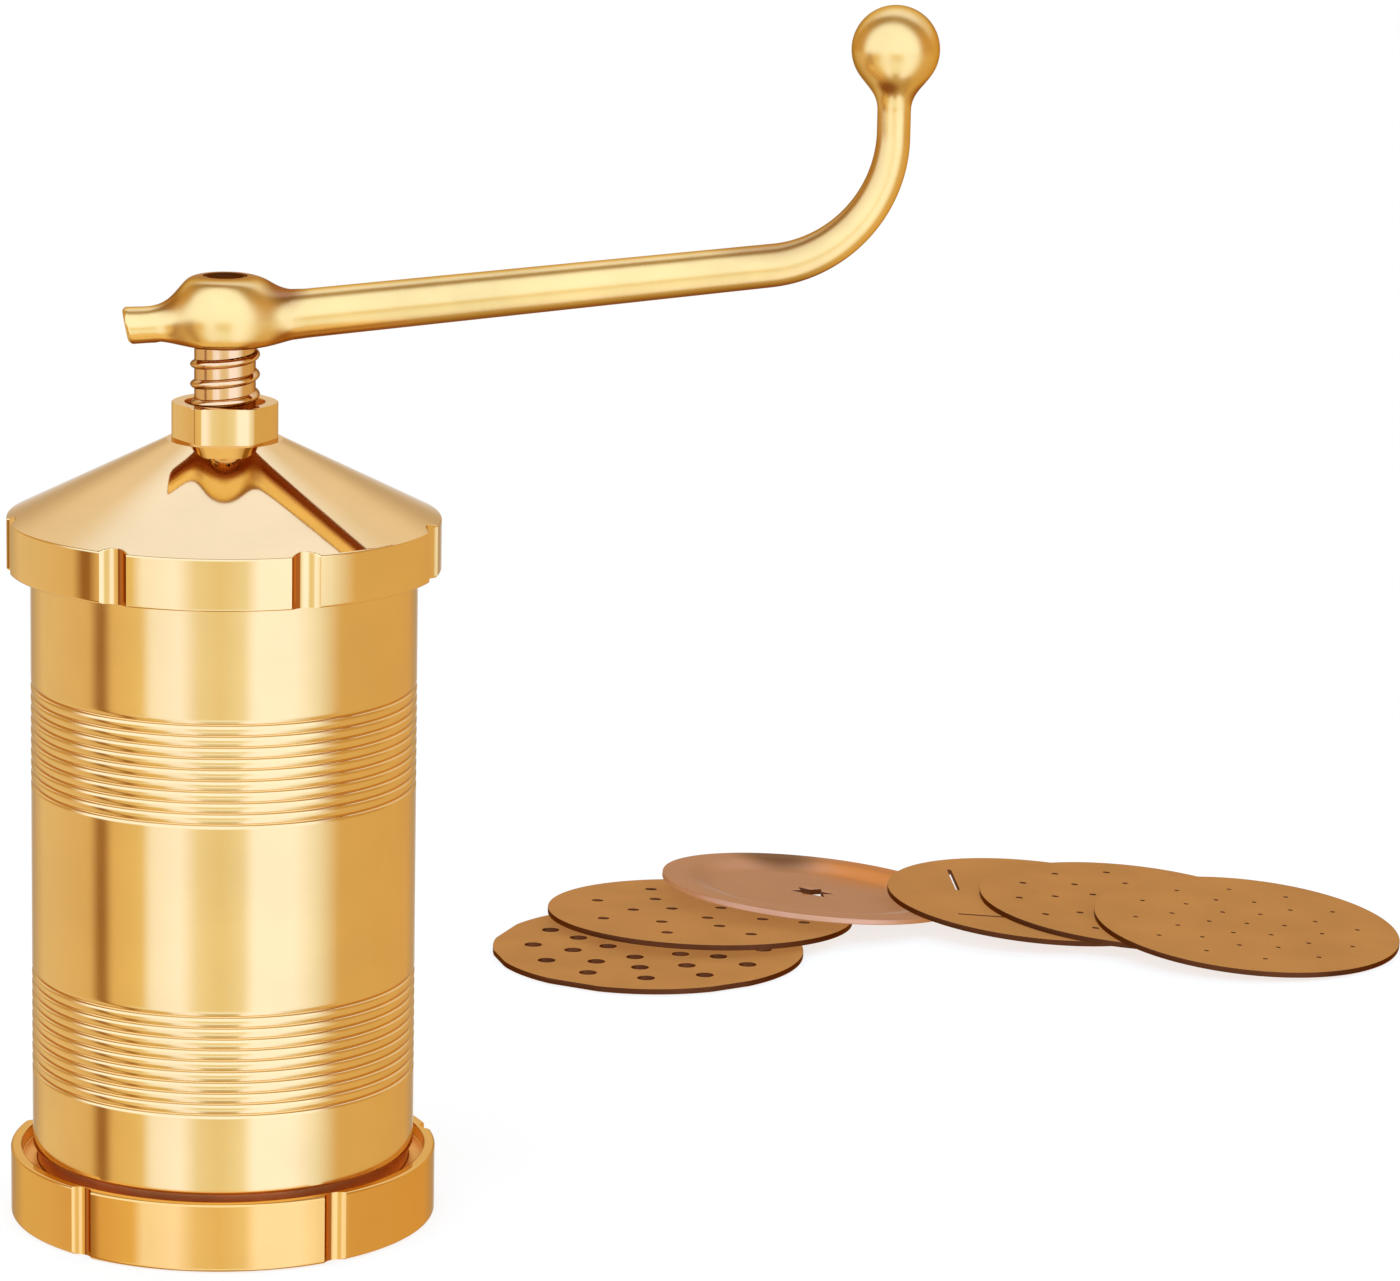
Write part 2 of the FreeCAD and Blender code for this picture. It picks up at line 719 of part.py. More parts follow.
def make_star_die():
    """A dished die with a six-pointed star in the middle of its sunken floor."""
    body = new_body("die_star")
    section = outline(body, "dish_section", [
        ("0", "0"),
        (DISH_FLOOR, "0"),
        (DISH_RIM, "dish_depth"),
        (DIE_RADIUS, "dish_depth"),
        (DIE_RADIUS, "dish_depth + die_thickness"),
        (DISH_RIM, "dish_depth + die_thickness"),
        (DISH_FLOOR, "die_thickness"),
        ("0", "die_thickness"),
    ])
    revolve(body, section, "dish_pressed")
    star = new_sketch(body, "star_sketch", "XY_Plane")
    regular_outline(star, 6, "star_tip_radius", "star_notch_radius")
    cut_through(body, star, "star")
    return body


def rise(kind, radius):
    """How far a die's underside stands above its floor plane at a radius."""
    if kind != "star":
        return 0.0
    share = (radius - value(DISH_FLOOR)) / value("dish_slope_width")
    return value("dish_depth") * min(1.0, max(0.0, share))


def edge_points(die):
    """Points of the table under a die's rim, and under the edge of the floor of a dished one."""
    radii = [value(DIE_RADIUS)]
    if die["kind"] == "star":
        radii.append(value(DISH_FLOOR))
    steps = 90
    turns = [2 * math.pi * step / steps for step in range(steps)]
    return [
        die["centre"] + radius * Vector(math.cos(turn), math.sin(turn), 0)
        for radius in radii
        for turn in turns
    ]


def floor_height(die, point):
    """The height of a lying die's floor plane over a point of the table."""
    return die["slope"] * (die["support"] - (point - die["centre"]).dot(die["away"]))


def least_slope(die, lower):
    """The least slope at which a die clears those under it, with its far edge on the table."""
    widest = value(DIE_RADIUS) + SAME_LENGTH
    slope = 0.0
    for below in lower:
        for point in edge_points(below) + edge_points(die):
            out = point.distanceToPoint(die["centre"])
            out_below = point.distanceToPoint(below["centre"])
            reach = die["support"] - (point - die["centre"]).dot(die["away"])
            if reach > 0 and max(out, out_below) <= widest:
                top = floor_height(below, point) + rise(below["kind"], out_below) + value("die_thickness")
                slope = max(slope, (top + value("stack_gap") - rise(die["kind"], out)) / reach)
    return slope


def lay_fan(dies):
    """Lay the loose dies on the table in a fan, each leaning on those below it."""
    lower = []
    for kind, body in dies.items():
        centre = Vector(value(f"{kind}_die_x"), value(f"{kind}_die_y"), 0)
        away = (centre - lower[-1]["centre"]).normalize() if lower else Vector(1, 0, 0)
        support = value(DISH_FLOOR if kind == "star" else DIE_RADIUS)
        die = {"kind": kind, "centre": centre, "away": away, "support": support}
        die["slope"] = least_slope(die, lower)
        tilt = Rotation(Vector(-away.y, away.x, 0), math.degrees(math.atan(die["slope"])))
        body.Placement = Placement(centre + Vector(0, 0, floor_height(die, centre)), tilt)
        lower.append(die)


def make_dies():
    """The fitted die on the ring's flange, and the fan of loose dies."""
    fitted = make_round_die("fitted", "die_fitted")
    fitted.setExpression("Placement.Base.z", bound("flange_thickness"))
    loose = {
        "large": make_round_die("large", "die_large_holes"),
        "medium": make_round_die("medium", "die_medium_holes"),
        "star": make_star_die(),
        "slots": make_slot_die(),
        "small": make_round_die("small", "die_small_holes"),
        "fine": make_round_die("fine", "die_fine_holes"),
    }
    for body in loose.values():
        body.clearExpression("Placement.Base.z")
    lay_fan(loose)
    return [fitted, *loose.values()]


# ---------------------------------------------------------------- assembly

parts = [make_base_ring(), make_barrel(), make_top_cap(), make_screw(), make_handle(), make_piston()]
parts += make_piston_fasteners()
parts += make_dies()
doc.recompute()

for item in doc.Objects:
    if "Invalid" in item.State or "Error" in item.State:
        raise RuntimeError(f"{item.Label} did not compute")
for part in parts:
    if part.Shape.isNull() or not part.Shape.isValid() or len(part.Shape.Solids) != 1:
        raise RuntimeError(f"{part.Label} is not one valid solid")

os.makedirs("parts", exist_ok=True)
for part in parts:
    part.Shape.exportStep(os.path.join("parts", part.Label + ".step"))
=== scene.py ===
import math

import bmesh
import bpy
import numpy as np
from mathutils import Matrix, Vector


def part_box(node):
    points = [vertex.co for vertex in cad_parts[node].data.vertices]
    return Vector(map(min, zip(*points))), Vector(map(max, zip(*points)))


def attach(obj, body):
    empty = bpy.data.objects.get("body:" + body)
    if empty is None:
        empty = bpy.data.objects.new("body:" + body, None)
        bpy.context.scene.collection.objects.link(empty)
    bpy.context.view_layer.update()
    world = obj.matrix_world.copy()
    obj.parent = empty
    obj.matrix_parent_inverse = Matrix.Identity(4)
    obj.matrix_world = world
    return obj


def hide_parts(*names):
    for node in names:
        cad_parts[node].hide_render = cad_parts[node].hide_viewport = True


# A brass sevai press with its six loose dies. Shapes are worked out in millimetres, in the CAD's
# frame, and become metres where their mesh is made. The floor and the camera are in metres. Angles
# are in radians, apart from sharp, first and bearings, which are in degrees.

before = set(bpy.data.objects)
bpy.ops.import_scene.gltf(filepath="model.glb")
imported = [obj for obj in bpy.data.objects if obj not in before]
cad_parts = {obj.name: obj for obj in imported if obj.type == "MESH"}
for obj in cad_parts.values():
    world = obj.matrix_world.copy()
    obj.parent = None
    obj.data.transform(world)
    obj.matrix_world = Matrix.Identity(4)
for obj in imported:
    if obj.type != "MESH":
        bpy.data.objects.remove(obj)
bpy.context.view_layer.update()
MM = 0.001


# ---------------------------------------------------------------- sizes, in millimetres

THREAD_CLEARANCE = 0.08

# barrel
BARREL_RADIUS = 34.8
BARREL_WALL = 3.0
BARREL_BORE = BARREL_RADIUS - BARREL_WALL
NECK_STEP = 0.9
NECK_RADIUS = BARREL_RADIUS - NECK_STEP
NECK_EXPOSED = 0.3
SHOULDER_RISE = 0.5
BAND_HEIGHTS = (24.4, 77.5)
BAND_MARGIN = 1.2
GROOVE_COUNT = 10
GROOVE_PITCH = 2.0

# base ring
RING_BORE = NECK_RADIUS + THREAD_CLEARANCE
RING_WALL = 4.82
RING_RADIUS = RING_BORE + RING_WALL
RING_HEIGHT = 12.6
LIP_WALL = 2.0
LIP_BORE = RING_RADIUS - LIP_WALL
LIP_DEPTH = 2.4
FLANGE_THICKNESS = 2.5
FLANGE_WIDTH = 3.98
OUTLET_RADIUS = RING_BORE - FLANGE_WIDTH

# screw, a right-handed one
SCREW_CREST = 6.25
THREAD_DEPTH = 0.75
THREAD_CREST_WIDTH = 1.7
PITCH = 3.6
HEAD_TENON = 3.95
FOOT_TENON = 4.0
HEAD_DISH = 0.9

# cap
CAP_BORE = BARREL_RADIUS + THREAD_CLEARANCE
CAP_WALL = 4.12
CAP_RADIUS = CAP_BORE + CAP_WALL
CAP_RIM_HEIGHT = 9.3
CAP_ENGAGEMENT = 7.1
CONE_RISE = 14.3
CONE_TOP = CAP_RIM_HEIGHT + CONE_RISE
CONE_WALL = 3.2
SCREW_BORE = SCREW_CREST + THREAD_CLEARANCE
BOSS_WALL = 3.32
BOSS_CORNER = SCREW_BORE + BOSS_WALL
BOSS_LEDGE = 0.75
BOSS_HEIGHT = 6.7
BOSS_CROWN = 0.8
BOSS_BLUNTING = 0.1
MOUTH_DEPTH = 1.6
MOUTH_TOP_RADIUS = SCREW_BORE + 0.9
MOUTH_FOOT_RADIUS = SCREW_BORE + 0.7
CONE_TOP_RADIUS = BOSS_CORNER + BOSS_LEDGE
NUT_WALL = 3.67
NUT_RADIUS = SCREW_BORE + NUT_WALL
NUT_DEPTH = 4.5

# crank handle, its heights counted from the hub's foot
HUB_RADIUS = 9.5
HUB_CENTRE = 5.2
HUB_ABOVE_CENTRE = 7.3
HUB_HEIGHT = HUB_CENTRE + HUB_ABOVE_CENTRE
HUB_BLEND = 4.8
HUB_TOP_ROUNDING = 1.2
HUB_FOOT_ROUNDING = 1.6
BAR_AXIS = 4.2
TAIL_REACH = 17.7
TAIL_ROOT_RADIUS = 3.1
TAIL_END_RADIUS = 3.5
ARM_ROOT_RADIUS = 4.45
ARM_BEND_RADIUS = 3.9
ARM_NECK_RADIUS = 3.0
CRANK_RADIUS = 119.0
BEND_RADIUS = 24.0
NECK_RISE = 15.2
BALL_RADIUS = 7.9
BALL_BLEND = 3.5
ARM_SLOPE = math.radians(6.3)
TAIL_SLOPE = math.radians(2.7)

# dies
DIE_CLEARANCE = 0.78
DIE_RADIUS = RING_BORE - DIE_CLEARANCE
DIE_THICKNESS = 1.2
DISH_DEPTH = 1.5
DISH_FLOOR = 21.0
DISH_RIM = 28.7
STAR_TIP = 5.0
STAR_NOTCH = 2.7

# columns of points round a form
BARREL_COLUMNS = 256
FLUTED_COLUMNS = 288
SCREW_COLUMNS = 64
CASTING_COLUMNS = 96
DIE_COLUMNS = 192
HOLE_COLUMNS = 28

# where the parts stand, from the CAD
BARREL_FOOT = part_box("barrel")[0][2] / MM
BARREL_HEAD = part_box("barrel")[1][2] / MM
CAP_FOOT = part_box("top_cap")[0][2] / MM
SCREW_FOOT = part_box("screw_spindle")[0][2] / MM
SCREW_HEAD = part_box("screw_spindle")[1][2] / MM
HUB_SEAT = SCREW_HEAD - HUB_HEIGHT
BALL_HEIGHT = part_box("crank_handle")[1][2] / MM - BALL_RADIUS
PISTON_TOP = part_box("plunger_disc")[1][2] / MM


# ---------------------------------------------------------------- mesh helpers

def shade(mesh, sharp=35):
    """Smooth shading with the edges over an angle kept sharp, in degrees."""
    mesh.shade_smooth()
    mesh.set_sharp_from_angle(angle=math.radians(sharp))


def build(name, points, faces, sharp=35):
    """A mesh object from points in millimetres, with doubles merged and its faces turned outwards."""
    touching = 1e-7
    mesh = bpy.data.meshes.new(name)
    mesh.from_pydata([tuple(np.asarray(p) * MM) for p in points], [], faces)
    work = bmesh.new()
    work.from_mesh(mesh)
    bmesh.ops.remove_doubles(work, verts=work.verts, dist=touching)
    bmesh.ops.dissolve_degenerate(work, edges=work.edges, dist=touching)
    bmesh.ops.recalc_face_normals(work, faces=work.faces)
    work.to_mesh(mesh)
    work.free()
    shade(mesh, sharp)
    piece = bpy.data.objects.new(name, mesh)
    bpy.context.scene.collection.objects.link(piece)
    return piece


def grid_faces(rows, columns, wrap_rows, wrap_columns):
    """The quads of a grid of points that is stored row by row."""
    return [
        (
            row * columns + column,
            row * columns + (column + 1) % columns,
            (row + 1) % rows * columns + (column + 1) % columns,
            (row + 1) % rows * columns + column,
        )
        for row in range(rows if wrap_rows else rows - 1)
        for column in range(columns if wrap_columns else columns - 1)
    ]


# A fillet has the points of its arc, and one more at either side that keeps the flat beside it flat.
FILLET_STEPS = 4
FILLET_POINTS = FILLET_STEPS + 3
FILLET_LEAD = 0.15
FILLET_LARGEST_SHARE = 0.45


def rounded(corners):
    """A closed outline of (radius, height, limit) with each corner's fillet worked out.

    A corner is (radius, height, fillet, limit); the limit names what cuts the turned form there.
    """
    outline = []
    for index, (x, z, fillet, limit) in enumerate(corners):
        if fillet == 0:
            outline.append((x, z, limit))
            continue
        here = np.array([x, z])
        before = np.array(corners[index - 1][:2]) - here
        after = np.array(corners[(index + 1) % len(corners)][:2]) - here
        before_length = np.linalg.norm(before)
        after_length = np.linalg.norm(after)
        before /= before_length
        after /= after_length
        half = math.acos(float(np.clip(before @ after, -1, 1))) / 2
        largest = FILLET_LARGEST_SHARE * min(before_length, after_length)
        tangent = min(fillet / math.tan(half), largest)
        lead = tangent + min(FILLET_LEAD, tangent)
        bisector = (before + after) / np.linalg.norm(before + after)
        centre = here + bisector * tangent / math.cos(half)
        start = here + before * tangent - centre
        end = here + after * tangent - centre
        sweep = math.pi - 2 * half
        outline.append((*(here + before * lead), limit))
        for share in np.linspace(0, 1, FILLET_STEPS + 1):
            spoke = math.sin((1 - share) * sweep) * start + math.sin(share * sweep) * end
            outline.append((*(centre + spoke / math.sin(sweep)), limit))
        outline.append((*(here + after * lead), limit))
    return outline


def lathe(name, outline, angles, limits=None, closed=True, sharp=35):
    """A turned piece. A limit is a function of the angles that gives the largest radius at each."""
    reach = {key: limit(angles) for key, limit in (limits or {}).items()}
    points = []
    for radius, height, limit in outline:
        radii = np.full(len(angles), float(radius))
        if limit:
            radii = np.minimum(radii, reach[limit])
        heights = np.full(len(angles), height)
        points.append(np.column_stack([radii * np.cos(angles), radii * np.sin(angles), heights]))
    faces = grid_faces(len(outline), len(angles), closed, True)
    return build(name, np.concatenate(points), faces, sharp)


def turns(count, special=()):
    """Angles all the way round, evenly spaced, with some special ones in place of those near them."""
    even = np.linspace(0, 2 * math.pi, count, endpoint=False)
    if len(special) == 0:
        return even
    extra = np.asarray(special) % (2 * math.pi)
    least_gap = 0.3 * 2 * math.pi / count
    gaps = np.abs(even[:, None] - extra[None, :]).min(axis=1)
    return np.sort(np.concatenate([even[gaps > least_gap], np.unique(extra.round(7))]))


def fluted(rim, radius, depth, count, first):
    """The limit that half-round flutes set to a rim, and the angles that its columns need."""
    columns_across = 17
    out = rim + radius - depth
    middles = math.radians(first) + 2 * math.pi * np.arange(count) / count
    half = math.acos((rim**2 + out**2 - radius**2) / (2 * rim * out))

    def limit(angles):
        off = (angles[:, None] - middles[None, :] + math.pi) % (2 * math.pi) - math.pi
        across = out * np.sin(off)
        inside = (np.abs(across) < radius) & (np.abs(off) < math.pi / 2)
        chord = np.sqrt(np.maximum(radius**2 - across**2, 0))
        return np.where(inside, out * np.cos(off) - chord, np.inf).min(axis=1)

    columns = (middles[:, None] + half * np.linspace(-1, 1, columns_across)[None, :]).ravel()
    return limit, columns


def join(target, *others):
    """Put the meshes of other objects into one object."""
    work = bmesh.new()
    for item in (target, *others):
        work.from_mesh(item.data)
    work.to_mesh(target.data)
    work.free()
    shade(target.data)
    for item in others:
        bpy.data.meshes.remove(item.data)
    return target


def bore(piece, radius, low, high):
    """Cut a round hole through a piece on the press axis."""
    cylinder = [(0, low, None), (radius, low, None), (radius, high, None), (0, high, None)]
    cutter = lathe("cutter", cylinder, turns(SCREW_COLUMNS), closed=False)
    cut = piece.modifiers.new("bore", "BOOLEAN")
    cut.object = cutter
    cut.operation = "DIFFERENCE"
    cut.solver = "EXACT"
    depsgraph = bpy.context.evaluated_depsgraph_get()
    mesh = bpy.data.meshes.new_from_object(piece.evaluated_get(depsgraph))
    piece.modifiers.clear()
    solid = piece.data
    piece.data = mesh
    bpy.data.meshes.remove(solid)
    bpy.data.meshes.remove(cutter.data)
    shade(piece.data)


# The places of a piece's further materials in its list.
SECOND = 1
THIRD = 2


def paint(piece, number, chosen):
    """Give a material number to the faces that a test of (radius, height, level) chooses.

    Level is 0 for an upright face and 1 for a flat one.
    """
    for polygon in piece.data.polygons:
        x, y, z = polygon.center / MM
        if chosen(math.hypot(x, y), z, abs(polygon.normal.z)):
            polygon.material_index = number


def paint_flutes(piece, number, bore_radius, rim):
    """Paint shade on the walls of the front and back flutes that face away from x = 0, by giving them a
    material number.
    """
    skin = 0.03
    for polygon in piece.data.polygons:
        x, y, _ = polygon.center / MM
        in_rim = bore_radius < math.hypot(x, y) < rim - skin
        upright = abs(polygon.normal.z) < 0.3
        faces_away = polygon.normal.x * math.copysign(1, x) > 0.55
        if in_rim and upright and faces_away and abs(y) > rim / 2:
            polygon.material_index = number


def fit_out(piece, materials, node, body):
    """Give a piece its materials and its body, and hide the CAD node that it stands in for."""
    for material in materials:
        piece.data.materials.append(material)
    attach(piece, body)
    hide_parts(node)


# ---------------------------------------------------------------- node helpers

class NodeTree:
    """The nodes of a material or the world, with short ways to add the ones that are used here."""

    def __init__(self, owner):
        owner.use_nodes = True
        self.nodes = owner.node_tree.nodes
        self.links = owner.node_tree.links
        self.coordinates = self.add("TexCoord").outputs

    def feed(self, node, inputs):
        """Give a node's inputs, by name or number, a link, a number, a vector or a colour."""
        for key, item in inputs.items():
            socket = node.inputs[key]
            if isinstance(item, bpy.types.NodeSocket):
                self.links.new(item, socket)
            elif socket.type == "RGBA":
                socket.default_value = (*item, 1)
            else:
                socket.default_value = item

    def add(self, kind, inputs=None, **settings):
        """A new node with its settings and inputs."""
        node = self.nodes.new("ShaderNode" + kind)
        for name, setting in settings.items():
            setattr(node, name, setting)
        self.feed(node, inputs or {})
        return node

    def maths(self, operation, *values):
        """The outcome of a calculation with links and numbers."""
        return self.add("Math", dict(enumerate(values)), operation=operation).outputs[0]

    def fade(self, value, start, end, strength=1.0):
        """A share that grows smoothly from 0 to a strength while a value goes from start to end."""
        inputs = {"Value": value, "From Min": start, "From Max": end, "To Max": strength}
        return self.add("MapRange", inputs, interpolation_type="SMOOTHSTEP").outputs["Result"]

    def mix(self, share, first, second):
        """A colour between two others. The Mix node has sockets for each type; these are its colours."""
        return self.add("Mix", {0: share, 6: first, 7: second}, data_type="RGBA").outputs[2]

    def ramp(self, value, stops):
        """The colour at a value, between stops of (value, colour)."""
        node = self.add("ValToRGB", {"Fac": value})
        elements = node.color_ramp.elements
        for position, _ in stops[1:-1]:
            elements.new(position)
        for element, (position, colour) in zip(elements, stops):
            element.position = position
            element.color = (*colour, 1)
        return node.outputs["Color"]

    def distance(self, point):
        """How far the surface is from a point, in metres."""
        inputs = {0: self.coordinates["Object"], 1: point}
        return self.add("VectorMath", inputs, operation="DISTANCE").outputs["Value"]

    def noise(self, scale, detail, stretch=(1, 1, 1)):
        """Noise through the object, finer at a larger scale."""
        mapping = self.add("Mapping", {"Vector": self.coordinates["Object"], "Scale": stretch})
        inputs = {"Vector": mapping.outputs["Vector"], "Scale": scale, "Detail": detail}
        return self.add("TexNoise", inputs).outputs["Fac"]

    def bumps(self, height, depth, below=None):
        """Bumps of a depth in millimetres, over the surface or over other bumps."""
        inputs = {"Strength": 1.0, "Distance": depth * MM, "Height": height}
        if below:
            inputs["Normal"] = below
        return self.add("Bump", inputs).outputs["Normal"]


# ---------------------------------------------------------------- materials

def metal(name, colour, edge, roughness, dents, metallic=1.0, coat=0.0, spread=0.05, lines=None, stains_and_shade=None):
    """A brass with a colour that is seen face on, another for grazing light, and a range of roughness.

    The colour is darker by up to the spread in places, and a function can lay stains or painted shade over
    it.
    The dents, and the lines that turning left, are (noise scale, depth in millimetres).
    """
    material = bpy.data.materials.new(name)
    tree = NodeTree(material)
    darker = tuple(c * (1 - spread) for c in colour)
    tint = tree.ramp(tree.noise(scale=70, detail=4), ((0.35, darker), (0.65, colour)))
    if stains_and_shade:
        tint = stains_and_shade(tree, tint)
    uneven = tree.noise(scale=160, detail=6)
    rough = tree.add("MapRange", {"Value": uneven, "To Min": roughness[0], "To Max": roughness[1]})
    scale, depth = dents
    normal = tree.bumps(tree.noise(scale, detail=3), depth)
    if lines:
        scale, depth = lines
        normal = tree.bumps(tree.noise(scale, detail=2, stretch=(0.02, 0.02, 1)), depth, normal)
    tree.feed(tree.nodes["Principled BSDF"], {
        "Base Color": tint,
        "Metallic": metallic,
        "Roughness": rough.outputs["Result"],
        "Normal": normal,
        "Specular Tint": edge,
        "Coat Weight": coat,
        "Coat Roughness": 0.04,
        "Coat IOR": 1.7,
    })
    return material


def patch(tree, under, centre, reach, colour, strength, core=0.25):
    """A soft round patch of colour about a point in millimetres, at full strength within a share of its
    reach; it lays both stains and painted shade.
    """
    away = tree.distance(tuple(c * MM for c in centre))
    return tree.mix(tree.fade(away, reach * MM, core * reach * MM, strength), under, colour)


def star_stain(tree, tint):
    """The heat mark at the far side of the pressed die: a dark smudge beside a copper glow."""
    copper = (0.75, 0.26, 0.05)
    smoke = (0.12, 0.05, 0.015)
    x, y, z = lying("die_star").translation / MM
    tint = patch(tree, tint, (x + 16.9, y + 23.4, z + 1.84), 20, copper, 0.8)
    return patch(tree, tint, (x - 5.1, y + 30.4, z + 1.84), 13, smoke, 0.85)


def casting_painted_shade(tree, tint):
    """Brown painted shade on the casting: in its hollows and under the ball, inside its bend and over its
    underside.

    A hollow is (centre, reach, strength).
    """
    brown = (0.3, 0.08, 0.02)
    hub_top = ((0, 0, HUB_SEAT + HUB_HEIGHT), 8.5, 0.85)
    arm_root = ((10, -1, HUB_SEAT + 10.2), 6, 0.85)
    tail_root = ((-9.5, -1, HUB_SEAT + 8.2), 4.5, 0.65)
    under_tail = ((-7.5, -4, HUB_SEAT + 0.8), 3.5, 0.5)
    under_arm = ((10, -4, HUB_SEAT + 1.4), 3.5, 0.5)
    ball_front = ((CRANK_RADIUS - 1.7, -4.6, BALL_HEIGHT - 6.2), 2.6, 0.8)
    ball_side = ((CRANK_RADIUS + 4.4, -1, BALL_HEIGHT - 7.2), 4.2, 0.85)
    hollows = (hub_top, arm_root, tail_root, under_tail, under_arm, ball_front, ball_side)
    # Painted shade: brown in each hollow, where shade falls.
    for centre, reach, strength in hollows:
        tint = patch(tree, tint, centre, reach, brown, strength)
    # Painted shade inside the bend.
    bend_middle = (CRANK_RADIUS - BEND_RADIUS, 0, BALL_HEIGHT - NECK_RISE)
    tint = patch(tree, tint, bend_middle, 23.8, brown, 0.5, core=0.84)
    # Painted shade over the underside, on the faces that look down.
    facing = tree.add("SeparateXYZ", {0: tree.add("NewGeometry").outputs["Normal"]})
    return tree.mix(tree.fade(facing.outputs["Z"], -0.6, -0.95), tint, brown)


def make_materials():
    """The brasses, by what they are for."""
    gold = (0.83, 0.54, 0.19)
    edge = (0.88, 0.66, 0.36)
    dull = (0.7, 0.45, 0.22)
    return {
        "barrel": metal("barrel_brass", gold, edge, roughness=(0.1, 0.15), dents=(30, 0.02), coat=0.4,
                        lines=(900, 0.004)),
        "cap": metal("cap_brass", gold, edge, roughness=(0.04, 0.07), dents=(25, 0.01), coat=0.4),
        "ring": metal("ring_brass", (0.82, 0.45, 0.11), edge, roughness=(0.05, 0.08), dents=(25, 0.01),
                      coat=0.2),
        "inside": metal("inside_brass", (0.95, 0.5, 0.16), edge, roughness=(0.3, 0.4), dents=(60, 0.02),
                        spread=0.2),
        # Painted shade on one wall of each front and back flute.
        "flute": metal("flute_wall_painted_shade", (0.5, 0.17, 0.04), dull, roughness=(0.1, 0.16), dents=(60, 0.02)),
        # The casting's colour carries painted shade in its hollows, inside its bend and underneath.
        "cast": metal("cast_brass", (0.86, 0.55, 0.17), (0.68, 0.4, 0.14), roughness=(0.22, 0.3),
                      dents=(110, 0.06), coat=0.1, spread=0.12, stains_and_shade=casting_painted_shade),
        "screw": metal("screw_brass", (0.78, 0.48, 0.21), (0.4, 0.2, 0.07), roughness=(0.05, 0.08),
                       dents=(120, 0.03), coat=0.15),
        # Near-black painted shade, for the dies' cut edges and hole walls and the screw's dished end.
        "dark": metal("painted_shade_near_black", (0.12, 0.035, 0.01), dull, roughness=(0.4, 0.5), dents=(120, 0.05),
                      spread=0.3),
        "die": metal("die_brass", (0.6, 0.27, 0.06), dull, roughness=(0.4, 0.5), dents=(60, 0.05),
                     metallic=0.75, spread=0.1),
        "star": metal("star_die_brass", (0.6, 0.3, 0.15), dull, roughness=(0.25, 0.4), dents=(60, 0.05),
                      metallic=0.8, stains_and_shade=star_stain),
    }


# ---------------------------------------------------------------- the press

def make_ring(material, inside, flute_shade):
    """The base ring: a collar with a lip round the barrel and a flange under the die."""
    limit, columns = fluted(RING_RADIUS, radius=2.6, depth=1.4, count=5, first=13.1)
    lip_floor = RING_HEIGHT - LIP_DEPTH
    outline = rounded([
        (OUTLET_RADIUS, 0, 0.3, None),
        (RING_RADIUS, 0, 0.6, "flutes"),
        (RING_RADIUS, RING_HEIGHT, 0.45, "flutes"),
        (LIP_BORE, RING_HEIGHT, 0.3, None),
        (LIP_BORE, lip_floor, 0.15, None),
        (RING_BORE, lip_floor, 0.2, None),
        (RING_BORE, FLANGE_THICKNESS, 0.1, None),
        (OUTLET_RADIUS, FLANGE_THICKNESS, 0.2, None),
    ])
    ring = lathe("ring_turned", outline, turns(FLUTED_COLUMNS, columns), {"flutes": limit})
    paint(ring, SECOND, lambda radius, height, level: radius < LIP_BORE - 0.1)
    # Painted shade on one wall of each front and back flute.
    paint_flutes(ring, THIRD, LIP_BORE, RING_RADIUS)
    fit_out(ring, [material, inside, flute_shade], "base_ring", "base")


def groove_points(height):
    """One shallow turned groove, its middle at a height: a steep lower flank and a long upper one."""
    lower = ((-0.55, 0), (-0.5, 0.03), (-0.33, 0.33), (-0.25, 0.35))
    upper = ((0.38, 0.07), (0.5, 0.025), (0.65, 0))
    return [(BARREL_RADIUS - depth, height + off, None) for off, depth in lower + upper]


def band_points(height):
    """A band of grooves between two plain margins, its lowest groove at a height."""
    top = height + GROOVE_PITCH * (GROOVE_COUNT - 1)
    points = [(BARREL_RADIUS, height - BAND_MARGIN, None)]
    for number in range(GROOVE_COUNT):
        points += groove_points(height + GROOVE_PITCH * number)
    return points + [(BARREL_RADIUS, top + BAND_MARGIN, None)]


def make_barrel(material, inside):
    """The barrel: a tube on a thinner neck, with its bands just before the outline's last corner."""
    neck_top = RING_HEIGHT + NECK_EXPOSED
    shell = rounded([
        (BARREL_BORE, BARREL_HEAD, 0.3, None),
        (BARREL_BORE, BARREL_FOOT, 0.3, None),
        (NECK_RADIUS, BARREL_FOOT, 0.3, None),
        (NECK_RADIUS, neck_top, 0.1, None),
        (BARREL_RADIUS, neck_top + SHOULDER_RISE, 0.2, None),
        (BARREL_RADIUS, BARREL_HEAD, 0.5, None),
    ])
    bands = [point for height in BAND_HEIGHTS for point in band_points(BARREL_FOOT + height)]
    outline = shell[:-FILLET_POINTS] + bands + shell[-FILLET_POINTS:]
    barrel = lathe("barrel_tube", outline, turns(BARREL_COLUMNS))
    paint(barrel, SECOND, lambda radius, height, level: radius < NECK_RADIUS + 0.05)
    fit_out(barrel, [material, inside], "barrel", "barrel")


def hexagon(angles):
    """The limit that the boss's six faces set: polished a little round, their corners blunt."""
    off = (angles + math.pi / 6) % (math.pi / 3) - math.pi / 6
    from_middle = math.pi / 6 - np.abs(off)
    flat = BOSS_CORNER * math.cos(math.pi / 6)
    crown = BOSS_CROWN * (1 - (np.tan(from_middle) / math.tan(math.pi / 6)) ** 2)
    return np.minimum((flat + crown) / np.cos(from_middle), BOSS_CORNER - BOSS_BLUNTING)


